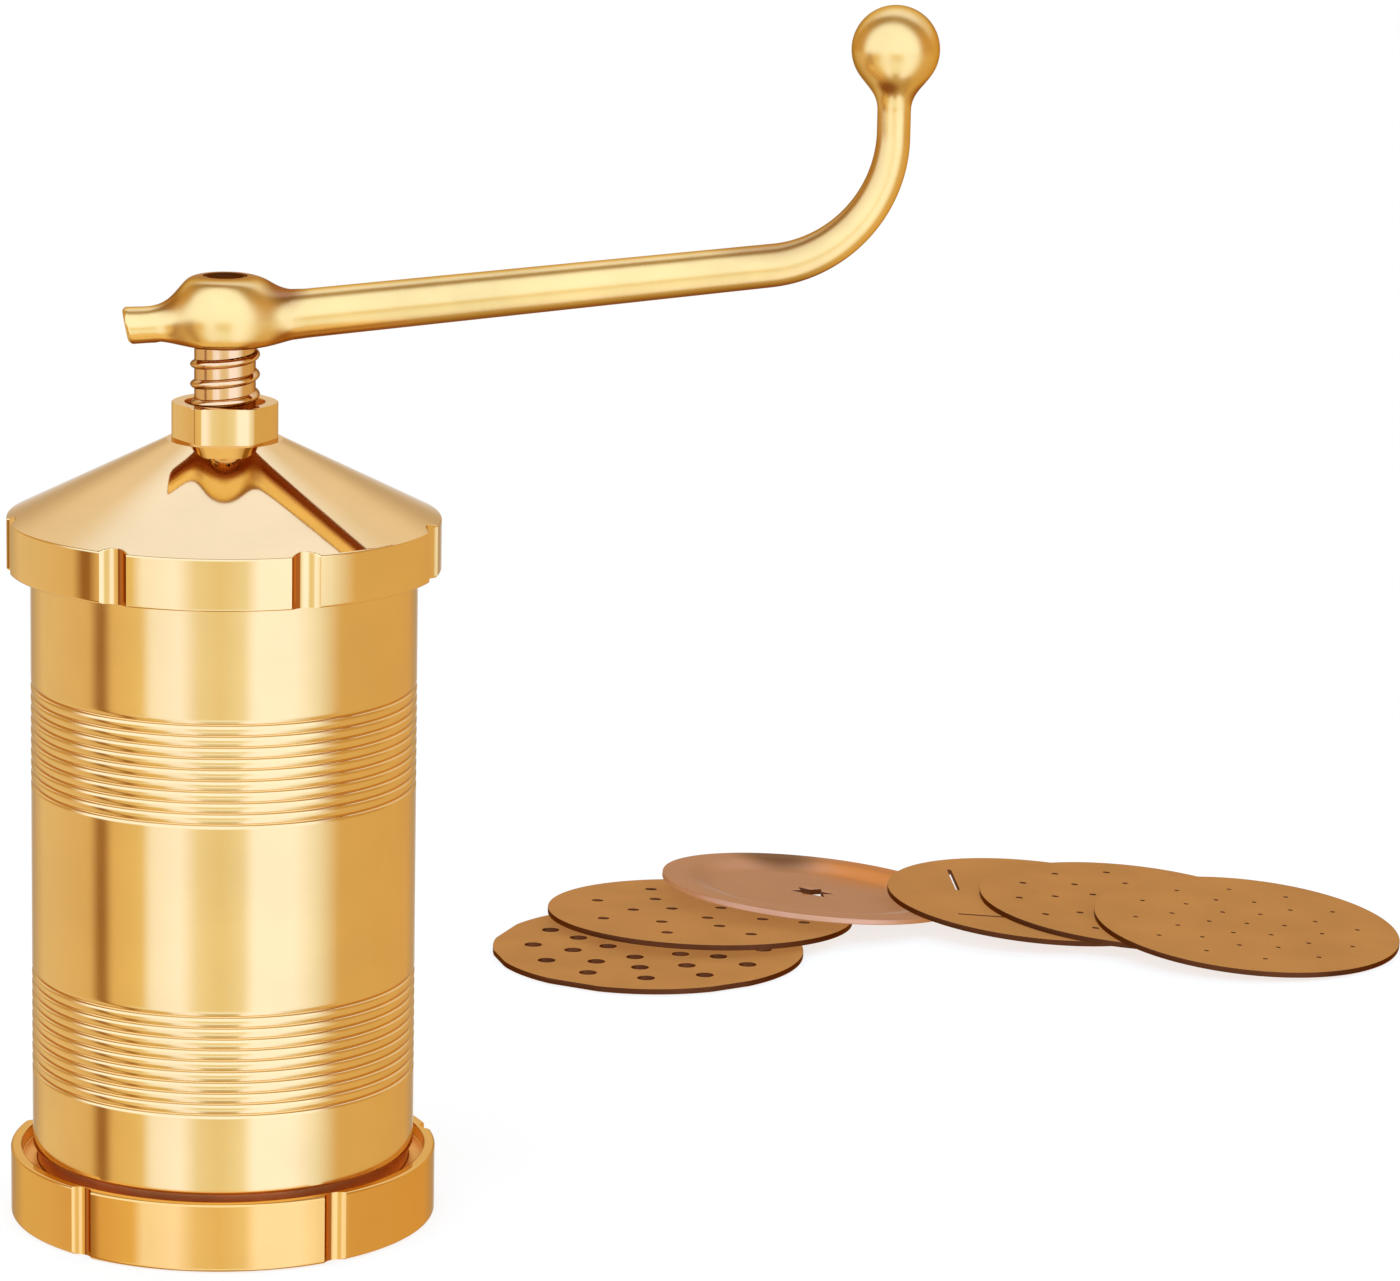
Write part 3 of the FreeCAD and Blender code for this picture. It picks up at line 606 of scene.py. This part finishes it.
def make_cap(material, inside, flute_shade):
    """The cap: a fluted rim, a cone and a hexagonal boss outside; the nut and the dome inside."""
    steepness = CONE_RISE / (CAP_RADIUS - CONE_TOP_RADIUS)

    def cone_height(radius):
        return CONE_TOP - steepness * (radius - CONE_TOP_RADIUS)

    dome_foot = cone_height(BARREL_BORE) - CONE_WALL
    dome_top = cone_height(NUT_RADIUS) - CONE_WALL
    nut_foot = dome_top - NUT_DEPTH
    boss_top = CONE_TOP + BOSS_HEIGHT
    mouth_floor = boss_top - MOUTH_DEPTH
    boss_start = 20
    rim = rounded([
        (CAP_BORE, 0, 0.3, None),
        (CAP_RADIUS, 0, 0.45, "flutes"),
        (CAP_RADIUS, CAP_RIM_HEIGHT, 0.35, "flutes"),
        (CONE_TOP_RADIUS, CONE_TOP, 0, None),
    ])[:-1]
    # Close rows where the flutes run out into the cone, then a few that keep it straight.
    close_radii = CAP_RADIUS - 0.6 - 0.1 * np.arange(14)
    bitten = [(radius, cone_height(radius), "flutes") for radius in close_radii]
    plain = [(radius, cone_height(radius), None) for radius in (30, boss_start, 12)]
    inner = rounded([
        (boss_start, cone_height(boss_start), 0, None),
        (CONE_TOP_RADIUS, CONE_TOP, 0.15, None),
        (BOSS_CORNER, CONE_TOP, 0, "hexagon"),
        (BOSS_CORNER, boss_top, 0.35, "hexagon"),
        (MOUTH_TOP_RADIUS, boss_top, 0.12, None),
        (MOUTH_FOOT_RADIUS, mouth_floor, 0.1, None),
        (SCREW_BORE, mouth_floor, 0.1, None),
        (SCREW_BORE, nut_foot, 0.2, None),
        (NUT_RADIUS, nut_foot, 0.4, None),
        (NUT_RADIUS, dome_top, 0.3, None),
        (BARREL_BORE, dome_foot, 0.3, None),
        (BARREL_BORE, CAP_ENGAGEMENT, 0.1, None),
        (CAP_BORE, CAP_ENGAGEMENT, 0.1, None),
        (CAP_BORE, 0, 0, None),
    ])[1:-1]
    whole = rim + bitten + plain + inner
    outline = [(radius, height + CAP_FOOT, kind) for radius, height, kind in whole]
    limit, flute_columns = fluted(CAP_RADIUS, radius=3.5, depth=1.4, count=7, first=34.3)
    degrees_off = (-1.2, -0.9, 0, 0.9, 1.2)
    corner_columns = np.radians([60 * corner + off for corner in range(6) for off in degrees_off])
    angles = turns(FLUTED_COLUMNS, np.concatenate([flute_columns, corner_columns]))
    cap = lathe("cap_turned", outline, angles, {"flutes": limit, "hexagon": hexagon})
    paint(cap, SECOND, lambda radius, height, level: radius < MOUTH_TOP_RADIUS - 0.05 and level < 0.7)
    # Painted shade on one wall of each front and back flute.
    paint_flutes(cap, THIRD, CAP_BORE, CAP_RADIUS)
    fit_out(cap, [material, inside, flute_shade], "top_cap", "cap")


def thread_profile():
    """One pitch of the thread as (height, radius): a wide root and a narrow round crest."""
    root = SCREW_CREST - THREAD_DEPTH
    root_width = PITCH - THREAD_CREST_WIDTH
    points = [(root_width * share, root) for share in (0, 0.33, 0.66)]
    steps = 9
    for step in range(steps):
        share = step / steps
        lift = math.sin(math.pi * share) ** 0.8
        points.append((root_width + THREAD_CREST_WIDTH * share, root + THREAD_DEPTH * lift))
    return points


def make_thread(low, high):
    """The threaded length of the screw, a right-handed helix cut square at both ends."""
    around = SCREW_COLUMNS
    profile = thread_profile()
    columns = len(profile)
    steps = math.ceil((high - low) / PITCH + 2) * around
    points = []
    for step in range(steps):
        angle = 2 * math.pi * step / around
        base = low - PITCH + PITCH * step / around
        for height, radius in profile:
            level = min(max(base + height, low), high)
            points.append((radius * math.cos(angle), radius * math.sin(angle), level))
    faces = []
    for step in range(steps - around - 1):
        for column in range(columns):
            if column + 1 < columns:
                right = step * columns + column + 1
            else:
                right = (step + around) * columns
            far = right + columns
            faces.append((step * columns + column, (step + 1) * columns + column, far, right))
    thread = build("thread", points, faces, 50)
    work = bmesh.new()
    work.from_mesh(thread.data)
    bmesh.ops.holes_fill(work, edges=[edge for edge in work.edges if edge.is_boundary], sides=0)
    bmesh.ops.recalc_face_normals(work, faces=work.faces)
    work.to_mesh(thread.data)
    work.free()
    return thread


def make_screw(material, dark):
    """The screw: its thread, the tenon that holds the piston and the dished end seen in the hub."""
    shoulder = PISTON_TOP + 0.1
    sunk = 0.2
    foot = lathe("screw_foot", [
        (0, SCREW_FOOT, None),
        (FOOT_TENON - 0.4, SCREW_FOOT, None),
        (FOOT_TENON, SCREW_FOOT + 0.4, None),
        (FOOT_TENON, shoulder + sunk, None),
        (0, shoulder + sunk, None),
    ], turns(SCREW_COLUMNS), closed=False)
    head = lathe("screw_head", [
        (0, HUB_SEAT - sunk, None),
        (HEAD_TENON, HUB_SEAT - sunk, None),
        (HEAD_TENON, SCREW_HEAD - 0.3, None),
        (HEAD_TENON - 0.2, SCREW_HEAD - 0.05, None),
        (HEAD_TENON - 0.55, SCREW_HEAD - 0.1, None),
        (HEAD_TENON - 0.9, SCREW_HEAD - 0.5 * HEAD_DISH, None),
        (HEAD_TENON * 0.4, SCREW_HEAD - 0.95 * HEAD_DISH, None),
        (0, SCREW_HEAD - HEAD_DISH, None),
    ], turns(SCREW_COLUMNS), closed=False, sharp=50)
    screw = join(make_thread(shoulder, HUB_SEAT), foot, head)
    screw.name = "screw_threaded"
    dish_foot = SCREW_HEAD - HEAD_DISH - 0.1
    # The dished end is painted near-black, as shade in the hub's hole.
    paint(screw, SECOND, lambda radius, height, level: height > dish_foot and radius < HEAD_TENON - 0.3)
    fit_out(screw, [material, dark], "screw_spindle", "crank")


# ---------------------------------------------------------------- the crank handle

def soft_min(a, b, blend):
    """The smaller of two distances, with a smooth change from one to the other."""
    share = np.maximum(blend - np.abs(a - b), 0) / blend
    return np.minimum(a, b) - share**2 * blend / 4


def casting_distance(points, from_bar, ball, in_hub):
    """How far points stand outside the casting, given how far they stand outside its bar."""
    hub = np.array([0, 0, HUB_CENTRE])
    from_hub = np.linalg.norm(points - hub, axis=-1) - HUB_RADIUS
    from_ball = np.linalg.norm(points - ball, axis=-1) - BALL_RADIUS
    distance = soft_min(soft_min(from_bar, from_hub, HUB_BLEND), from_ball, BALL_BLEND)
    if in_hub:
        distance = -soft_min(-distance, HUB_HEIGHT - points[..., 2], HUB_TOP_ROUNDING)
        distance = -soft_min(-distance, points[..., 2], HUB_FOOT_ROUNDING)
    return distance


def casting_reach(origin, rays, bar, ball):
    """How far rays from a point on the bar's axis go before they leave the casting, by halving."""
    farthest = 30.0
    halvings = 40
    hub_span = 12
    low = np.zeros(len(rays))
    high = np.full(len(rays), farthest)
    in_hub = abs(origin[0]) < hub_span
    for _ in range(halvings):
        middle = (low + high) / 2
        points = origin + rays * middle[:, None]
        outside = casting_distance(points, middle - bar, ball, in_hub) > 0
        high = np.where(outside, middle, high)
        low = np.where(outside, low, middle)
    return high


def leaning(slope, x):
    """The direction of a bar that slopes by an angle, but stays level in the hub's middle."""
    level_to = 3
    sloping_from = 14
    share = min(max((abs(x) - level_to) / (sloping_from - level_to), 0), 1)
    angle = slope * share * share * (3 - 2 * share)
    return np.array([math.cos(angle), 0, math.sin(angle)])


def tail_stations():
    """Stations along the tail, from its rounded end to the hub's middle, closer at the end and the hub."""
    end = [-TAIL_REACH + step for step in (0, 0.1, 0.3, 0.6)]
    stations = []
    for x in np.concatenate([end, np.arange(-TAIL_REACH + 1, -11, 1.0), np.arange(-11, -0.1, 0.4)]):
        share = (x + TAIL_REACH) / TAIL_REACH
        end_rounding = 0.15 + max(0.8 - x - TAIL_REACH, 0) ** 2
        point = np.array([x, 0, BAR_AXIS + math.tan(TAIL_SLOPE) * x])
        radius = TAIL_END_RADIUS - (TAIL_END_RADIUS - TAIL_ROOT_RADIUS) * share - end_rounding
        stations.append((point, leaning(TAIL_SLOPE, x), radius))
    return stations


def arm_stations(run_end):
    """Stations along the arm's straight run, from the hub's middle to the bend, closer in the hub."""
    taper_from = 5
    stations = []
    for x in np.concatenate([np.arange(0.1, 12, 0.4), np.arange(12, run_end, 2.5)]):
        share = max(x - taper_from, 0) / (run_end - taper_from)
        point = np.array([x, 0, BAR_AXIS + math.tan(ARM_SLOPE) * x])
        radius = ARM_ROOT_RADIUS - (ARM_ROOT_RADIUS - ARM_BEND_RADIUS) * share
        stations.append((point, leaning(ARM_SLOPE, x), radius))
    return stations


def bend_stations(bend_x, bend_z):
    """Stations round the bend, from the arm's slope to upright."""
    stations = []
    for share in np.linspace(0, 1, 33):
        angle = ARM_SLOPE + (math.pi / 2 - ARM_SLOPE) * share
        tangent = np.array([math.cos(angle), 0, math.sin(angle)])
        point = np.array([bend_x + BEND_RADIUS * math.sin(angle), 0, bend_z - BEND_RADIUS * math.cos(angle)])
        stations.append((point, tangent, ARM_BEND_RADIUS - (ARM_BEND_RADIUS - ARM_NECK_RADIUS) * share))
    return stations


def handle_stations():
    """Stations along the crank as (point, tangent, bar radius), from the tail's end to the ball's top.

    They are closer on the neck, and there is no bar above the ball's middle.
    """
    bend_x = CRANK_RADIUS - BEND_RADIUS
    bend_z = BAR_AXIS + math.tan(ARM_SLOPE) * bend_x + BEND_RADIUS / math.cos(ARM_SLOPE)
    run_end = bend_x + BEND_RADIUS * math.sin(ARM_SLOPE)
    stations = tail_stations() + arm_stations(run_end) + bend_stations(bend_x, bend_z)
    up = np.array([0.0, 0, 1])
    for rise in np.concatenate([np.arange(0.8, 4, 0.8), np.arange(4, NECK_RISE, 0.35)]):
        stations.append((np.array([CRANK_RADIUS, 0, bend_z + rise]), up, ARM_NECK_RADIUS))
    ball = np.array([CRANK_RADIUS, 0, bend_z + NECK_RISE])
    no_bar = -50.0
    for turn in np.radians(np.arange(0, 91, 3)):
        stations.append((ball + up * BALL_RADIUS * math.sin(turn), up, no_bar))
    return stations, ball


def make_handle(material):
    """The one-piece crank: bar, hub and ball melted into one surface, section by section."""
    turn = np.linspace(0, 2 * math.pi, CASTING_COLUMNS, endpoint=False)
    side = np.array([0.0, 1, 0])
    stations, ball = handle_stations()
    lean_from = -10
    lean = 0.16
    sections = []
    for origin, tangent, bar in stations:
        rays = np.outer(np.cos(turn), side) + np.outer(np.sin(turn), np.cross(side, tangent))
        section = origin + rays * casting_reach(origin, rays, bar, ball)[:, None]
        if origin[0] < lean_from:
            share = (lean_from - origin[0]) / (TAIL_REACH + lean_from)
            section[:, 0] += share * lean * (origin[2] - section[:, 2])
        sections.append(section + np.array([0, 0, HUB_SEAT]))
    tail_end = sections[0].mean(axis=0, keepdims=True).repeat(CASTING_COLUMNS, axis=0)
    sections.insert(0, tail_end)
    faces = grid_faces(len(sections), CASTING_COLUMNS, False, True)
    handle = build("handle_casting", np.concatenate(sections), faces)
    bore(handle, HEAD_TENON + 0.02, HUB_SEAT - 2, HUB_SEAT + HUB_HEIGHT + 2)
    fit_out(handle, [material], "crank_handle", "crank")


# ---------------------------------------------------------------- dies

def circle_points(radius, centre=(0, 0), count=HOLE_COLUMNS):
    """Points round a circle, evenly spaced."""
    turn = np.linspace(0, 2 * math.pi, count, endpoint=False)
    return [(centre[0] + radius * math.cos(t), centre[1] + radius * math.sin(t)) for t in turn]


def hole_ring(count, radius, first):
    """The centres of a ring of holes."""
    turn = np.radians(first) + 2 * math.pi * np.arange(count) / count
    return [(radius * math.cos(t), radius * math.sin(t)) for t in turn]


def lying(node):
    """Where a die lies: a matrix from its own frame, underside down, to the CAD's."""
    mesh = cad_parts[node].data
    normal = Vector()
    for polygon in mesh.polygons:
        if polygon.normal.z > 0.9:
            normal += polygon.normal * polygon.area
    tilt = Vector((0, 0, 1)).rotation_difference(normal.normalized()).to_matrix()
    corners = np.array([tilt.transposed() @ vertex.co for vertex in mesh.vertices])
    low, high = corners.min(axis=0), corners.max(axis=0)
    foot = tilt @ Vector(((low[0] + high[0]) / 2, (low[1] + high[1]) / 2, low[2]))
    return Matrix.Translation(foot) @ tilt.to_4x4()


def add_loop(curve, points):
    """Add a closed poly spline to a flat curve, through points in millimetres."""
    spline = curve.splines.new("POLY")
    spline.points.add(len(points) - 1)
    for target, (x, y) in zip(spline.points, points):
        target.co = (x * MM, y * MM, 0, 1)
    spline.use_cyclic_u = True


def burr(name, centre, radius):
    """The low raised edge that a drill or punch leaves round a hole."""
    steps = 6
    half_width = 0.16
    height = 0.04
    outline = []
    for step in range(steps):
        angle = 2 * math.pi * step / steps
        across = radius + half_width - half_width * math.cos(angle)
        outline.append((across, DIE_THICKNESS + height * math.sin(angle), None))
    ridge = lathe(name, outline, turns(HOLE_COLUMNS))
    ridge.data.transform(Matrix.Translation((centre[0] * MM, centre[1] * MM, 0)))
    return ridge


def lay_down(die, material, dark, node, body):
    """Finish a die made at the origin: its upright cut edges and hole walls painted near-black as shade, and
    its place in the fan or in the ring.
    """
    # Painted shade: the upright edges and hole walls take the near-black material.
    paint(die, SECOND, lambda radius, height, level: level < 0.5 and height < DIE_THICKNESS)
    die.data.transform(lying(node))
    die.visible_glossy = False
    fit_out(die, [material, dark], node, body)


def flat_die(node, piece_name, rim, hole_radius, holes, body, material, dark, slots=()):
    """A sheet-metal disc with holes and slots, laid where its CAD node lies."""
    edge = 0.08
    curve = bpy.data.curves.new(piece_name, "CURVE")
    curve.dimensions = "2D"
    curve.fill_mode = "BOTH"
    curve.extrude = (DIE_THICKNESS / 2 - edge) * MM
    curve.bevel_depth = edge * MM
    curve.bevel_resolution = 1
    curve.offset = -edge * MM
    for points in (rim, *(circle_points(hole_radius, centre) for centre in holes), *slots):
        add_loop(curve, points)
    flat = bpy.data.objects.new(piece_name + "_outline", curve)
    bpy.context.scene.collection.objects.link(flat)
    depsgraph = bpy.context.evaluated_depsgraph_get()
    mesh = bpy.data.meshes.new_from_object(flat.evaluated_get(depsgraph))
    bpy.data.curves.remove(curve)
    mesh.transform(Matrix.Translation((0, 0, DIE_THICKNESS / 2 * MM)))
    shade(mesh)
    die = bpy.data.objects.new(piece_name, mesh)
    bpy.context.scene.collection.objects.link(die)
    burrs = [burr(f"burr{number}", centre, hole_radius) for number, centre in enumerate(holes)]
    join(die, *burrs)
    lay_down(die, material, dark, node, body)


def hand_cut_rim():
    """The uneven outline of the die that was cut by hand: flats of (angle, depth) on the full circle."""
    flats = ((2.72, 0.55), (3.35, 0.3), (4.15, 0.5), (5.2, 0.3), (0.6, 0.25), (1.7, 0.3))
    half_length = 0.6
    points = []
    for turn in np.linspace(0, 2 * math.pi, DIE_COLUMNS, endpoint=False):
        radius = DIE_RADIUS
        for middle, depth in flats:
            off = (turn - middle + math.pi) % (2 * math.pi) - math.pi
            if abs(off) < half_length:
                radius = min(radius, (DIE_RADIUS - depth) / math.cos(off))
        points.append((radius * math.cos(turn), radius * math.sin(turn)))
    return points


def slot_corners(number):
    """One of the pinwheel's four slots."""
    start = 2.7
    end = start + 17.0
    near = 17.0
    far = near + 0.9
    turn = math.pi / 2 * number
    corners = [(start, near), (end, near), (end, far), (start, far)]
    return [(x * math.cos(turn) - y * math.sin(turn), x * math.sin(turn) + y * math.cos(turn))
            for x, y in corners]


def dish_height(radius):
    """How high the dished die's underside stands at a radius, above its floor."""
    share = min(max((radius - DISH_FLOOR) / (DISH_RIM - DISH_FLOOR), 0), 1)
    return DISH_DEPTH * share * share * (3 - 2 * share)


def make_star_die(material, dark):
    """The dished die: a star in the middle, a sunken floor and a pressed rim."""
    chamfer = 0.15
    angles = turns(DIE_COLUMNS)
    off = np.abs((angles + math.pi / 6) % (math.pi / 3) - math.pi / 6)
    slant = STAR_TIP * np.sin(off) + STAR_NOTCH * np.sin(math.pi / 6 - off)
    star = STAR_TIP * STAR_NOTCH * math.sin(math.pi / 6) / slant
    rim = np.full(len(angles), DIE_RADIUS)
    radii = [7, 10, 14, 18, *np.linspace(20, 29.5, 20), 31.5, DIE_RADIUS - 0.35, DIE_RADIUS - 0.1]
    circles = [(np.full(len(angles), radius), dish_height(radius)) for radius in radii]
    star_chamfer = [(star, DIE_THICKNESS - 0.05), (star + 0.12, DIE_THICKNESS)]
    top = [(reach, DIE_THICKNESS + height) for reach, height in circles]
    edge = [(rim, DISH_DEPTH + DIE_THICKNESS - chamfer), (rim, DISH_DEPTH + chamfer)]
    rows = star_chamfer + top + edge + circles[::-1] + [(star, 0)]
    points = np.concatenate([
        np.column_stack([reach * np.cos(angles), reach * np.sin(angles), np.full(len(angles), height)])
        for reach, height in rows
    ])
    die = build("die_star_pressed", points, grid_faces(len(rows), len(angles), True, True), 30)
    lay_down(die, material, dark, "die_star", "star_die")


def make_dies(material, star_material, dark):
    """The seven dies. A kind has its hole radius and its rings of (count, radius, first angle)."""
    kinds = {
        "fitted": (1.25, [(10, 23.6, 0), (5, 13, 20)]),
        "large": (1.9, [(12, 24.6, 25), (10, 16.4, 8), (5, 8.6, 31)]),
        "medium": (1.3, [(8, 23.6, 23), (7, 14.6, 25), (3, 6.4, 40)]),
        "small": (0.8, [(12, 25, 4), (8, 16.6, 40), (5, 9.2, 2)]),
        "fine": (0.55, [(12, 24.4, 0), (12, 16.4, 15), (6, 8.3, 0), (1, 0, 0)]),
    }
    full_rim = circle_points(DIE_RADIUS, count=DIE_COLUMNS)
    for kind, (hole_radius, rings) in kinds.items():
        holes = [centre for ring in rings for centre in hole_ring(*ring)]
        node = "die_fitted" if kind == "fitted" else f"die_{kind}_holes"
        rim = hand_cut_rim() if kind == "large" else full_rim
        flat_die(node, f"die_{kind}_punched", rim, hole_radius, holes, f"{kind}_die", material, dark)
    slots = [slot_corners(number) for number in range(4)]
    flat_die("die_slots", "die_slots_cut", full_rim, 0, [], "slot_die", material, dark, slots)
    make_star_die(star_material, dark)


# ---------------------------------------------------------------- studio

def make_walls(tree, x, y):
    """The studio round the press at its own level: a colour for each bearing.

    A bearing is in degrees from the camera's side, and grows towards the handle.
    """
    dark_edge = (0.55, 0.5, 0.42)
    streak = (0.38, 0.2, 0.07)
    softbox = (1.35, 1.6, 2.6)
    bearings = (
        (-180, (0.9, 0.9, 0.9)),
        (-162, dark_edge),
        (-138, (0.92, 0.88, 0.8)),
        (-110, (0.9, 0.78, 0.58)),
        (-87, (0.86, 0.69, 0.42)),
        (-80, streak),
        (-76, streak),
        (-70, (0.9, 0.72, 0.42)),
        (-50, (0.98, 0.86, 0.5)),
        (-44, (1.2, 1.4, 2.0)),
        (-26, (1.3, 1.55, 2.5)),
        (-15, (1.04, 1.1, 1.1)),
        (-2, (0.99, 0.98, 0.82)),
        (11, (1.06, 1.15, 1.2)),
        (18, softbox),
        (42, softbox),
        (58, (1.08, 1.25, 1.6)),
        (73, (0.83, 0.65, 0.36)),
        (112, (0.83, 0.64, 0.34)),
        (142, (0.84, 0.66, 0.42)),
        (162, dark_edge),
        (180, (0.9, 0.9, 0.9)),
    )
    bearing = tree.maths("ARCTAN2", x, tree.maths("MULTIPLY", y, -1.0))
    turned = tree.maths("MULTIPLY_ADD", bearing, 1 / (2 * math.pi), 0.5)
    return tree.ramp(turned, [(degrees / 360 + 0.5, colour) for degrees, colour in bearings])


def make_overhead(tree, walls, x, y, z):
    """A bright panel over the camera, a dark gold arch across the middle and a pale backdrop behind it."""
    pale = (0.98, 1.02, 1.3)
    ceiling = (1.15, 1.4, 2.4)
    arch_foot = (0.7, 0.48, 0.2)
    arch_top = (0.42, 0.3, 0.1)
    panel = (1.3, 1.65, 2.7)
    backdrop = tree.mix(tree.fade(z, 0.1, 0.5), walls, pale)
    backdrop = tree.mix(tree.fade(z, 0.62, 0.82), backdrop, ceiling)
    arch = tree.mix(tree.fade(z, 0.3, 0.95), arch_foot, arch_top)
    behind = tree.maths("MULTIPLY_ADD", x, 0.3, y)
    past_arch = tree.maths("MULTIPLY_ADD", z, 0.4, tree.maths("ADD", behind, -0.36))
    far = tree.mix(tree.fade(past_arch, 0.38, 0.14), backdrop, arch)
    return tree.mix(tree.fade(behind, -0.05, -0.4), far, panel)


def make_underneath(tree, walls, y, z):
    """A bright table before the press and dim gold straight down, with the softboxes running down it."""
    table_top = (1.15, 1.4, 1.9)
    straight_down = (0.55, 0.4, 0.15)
    table = tree.mix(tree.fade(y, -0.3, -0.7), walls, table_top)
    ground = tree.mix(tree.fade(z, -0.8, -0.94), table, straight_down)
    blue = tree.add("SeparateColor", {0: walls}).outputs["Blue"]
    softboxes = tree.maths("MULTIPLY", tree.fade(blue, 1.2, 2.4), tree.fade(z, -0.98, -0.9))
    return tree.mix(softboxes, ground, walls)


def make_world():
    """A studio that lights the press and shows in it, and is white to the camera.

    It goes by the direction (x, y, z) alone: y is -1 towards the camera's side, and z is 1 straight up.
    """
    world = bpy.data.worlds.new("studio")
    bpy.context.scene.world = world
    tree = NodeTree(world)
    x, y, z = tree.add("SeparateXYZ", {0: tree.coordinates["Generated"]}).outputs
    walls = make_walls(tree, x, y)
    studio = tree.mix(tree.fade(z, -0.19, -0.04), walls, make_overhead(tree, walls, x, y, z))
    studio = tree.mix(tree.fade(z, -0.34, -0.46), studio, make_underneath(tree, walls, y, z))
    seen = tree.add("LightPath").outputs["Is Camera Ray"]
    tree.feed(tree.nodes["Background"], {"Color": tree.mix(seen, studio, (1.0, 1.0, 1.0)), "Strength": 1.0})


def make_floor():
    """A pale floor under the press and the dies: it keeps their shadow, fades out and isn't mirrored."""
    middle = (0.1, 0.1)
    reach = 0.36
    drop = 0.0002
    fade_from = 0.24
    fade_to = 0.34
    mesh = bpy.data.meshes.new("floor")
    corners = [(middle[0] + across * reach, middle[1] + along * reach, -drop)
               for across, along in ((-1, -1), (1, -1), (1, 1), (-1, 1))]
    mesh.from_pydata(corners, [], [(0, 1, 2, 3)])
    floor = bpy.data.objects.new("floor", mesh)
    bpy.context.scene.collection.objects.link(floor)
    material = bpy.data.materials.new("floor_white")
    tree = NodeTree(material)
    shader = tree.nodes["Principled BSDF"]
    tree.feed(shader, {
        "Base Color": (0.3, 0.29, 0.22),
        "Roughness": 1.0,
        "Specular IOR Level": 0.0,
        "Emission Color": (1, 1, 1),
        "Emission Strength": 0.74,
    })
    faded = tree.fade(tree.distance((*middle, 0)), fade_from, fade_to)
    gone = tree.maths("MAXIMUM", faded, tree.add("LightPath").outputs["Is Glossy Ray"])
    clear = tree.add("BsdfTransparent").outputs[0]
    surface = tree.add("MixShader", {0: gone, 1: shader.outputs[0], 2: clear}).outputs[0]
    tree.feed(tree.nodes["Material Output"], {"Surface": surface})
    mesh.materials.append(material)


def make_camera():
    """The photograph's camera: a long lens a metre away, looking down a little."""
    place = Vector((0, -1.056, 0.339))
    yaw, pitch, roll = math.radians(4.66), math.radians(12.36), math.radians(1.12)
    ahead = Vector((math.sin(yaw) * math.cos(pitch), math.cos(yaw) * math.cos(pitch), -math.sin(pitch)))
    right = Vector((math.cos(yaw), -math.sin(yaw), 0))
    up = right.cross(ahead)
    rolled_right = math.cos(roll) * right + math.sin(roll) * up
    rolled_up = -math.sin(roll) * right + math.cos(roll) * up
    data = bpy.data.cameras.new("camera")
    data.sensor_width = 36
    data.lens = 153.6
    data.clip_start = 0.01
    camera = bpy.data.objects.new("camera", data)
    turn = Matrix((rolled_right, rolled_up, -ahead)).transposed()
    camera.matrix_world = Matrix.Translation(place) @ turn.to_4x4()
    bpy.context.scene.collection.objects.link(camera)
    bpy.context.scene.camera = camera


# ---------------------------------------------------------------- scene

bpy.context.scene.view_settings.view_transform = "Standard"
make_camera()
make_world()
make_floor()

brass = make_materials()
make_ring(brass["ring"], brass["inside"], brass["flute"])
make_barrel(brass["barrel"], brass["inside"])
make_cap(brass["cap"], brass["inside"], brass["flute"])
make_screw(brass["screw"], brass["dark"])
make_handle(brass["cast"])
make_dies(brass["die"], brass["star"], brass["dark"])
for node, kind in (("plunger_disc", "ring"), ("plunger_washer", "screw"), ("plunger_nut", "screw")):
    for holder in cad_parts[node].material_slots:
        holder.material = brass[kind]

bpy.context.view_layer.update()
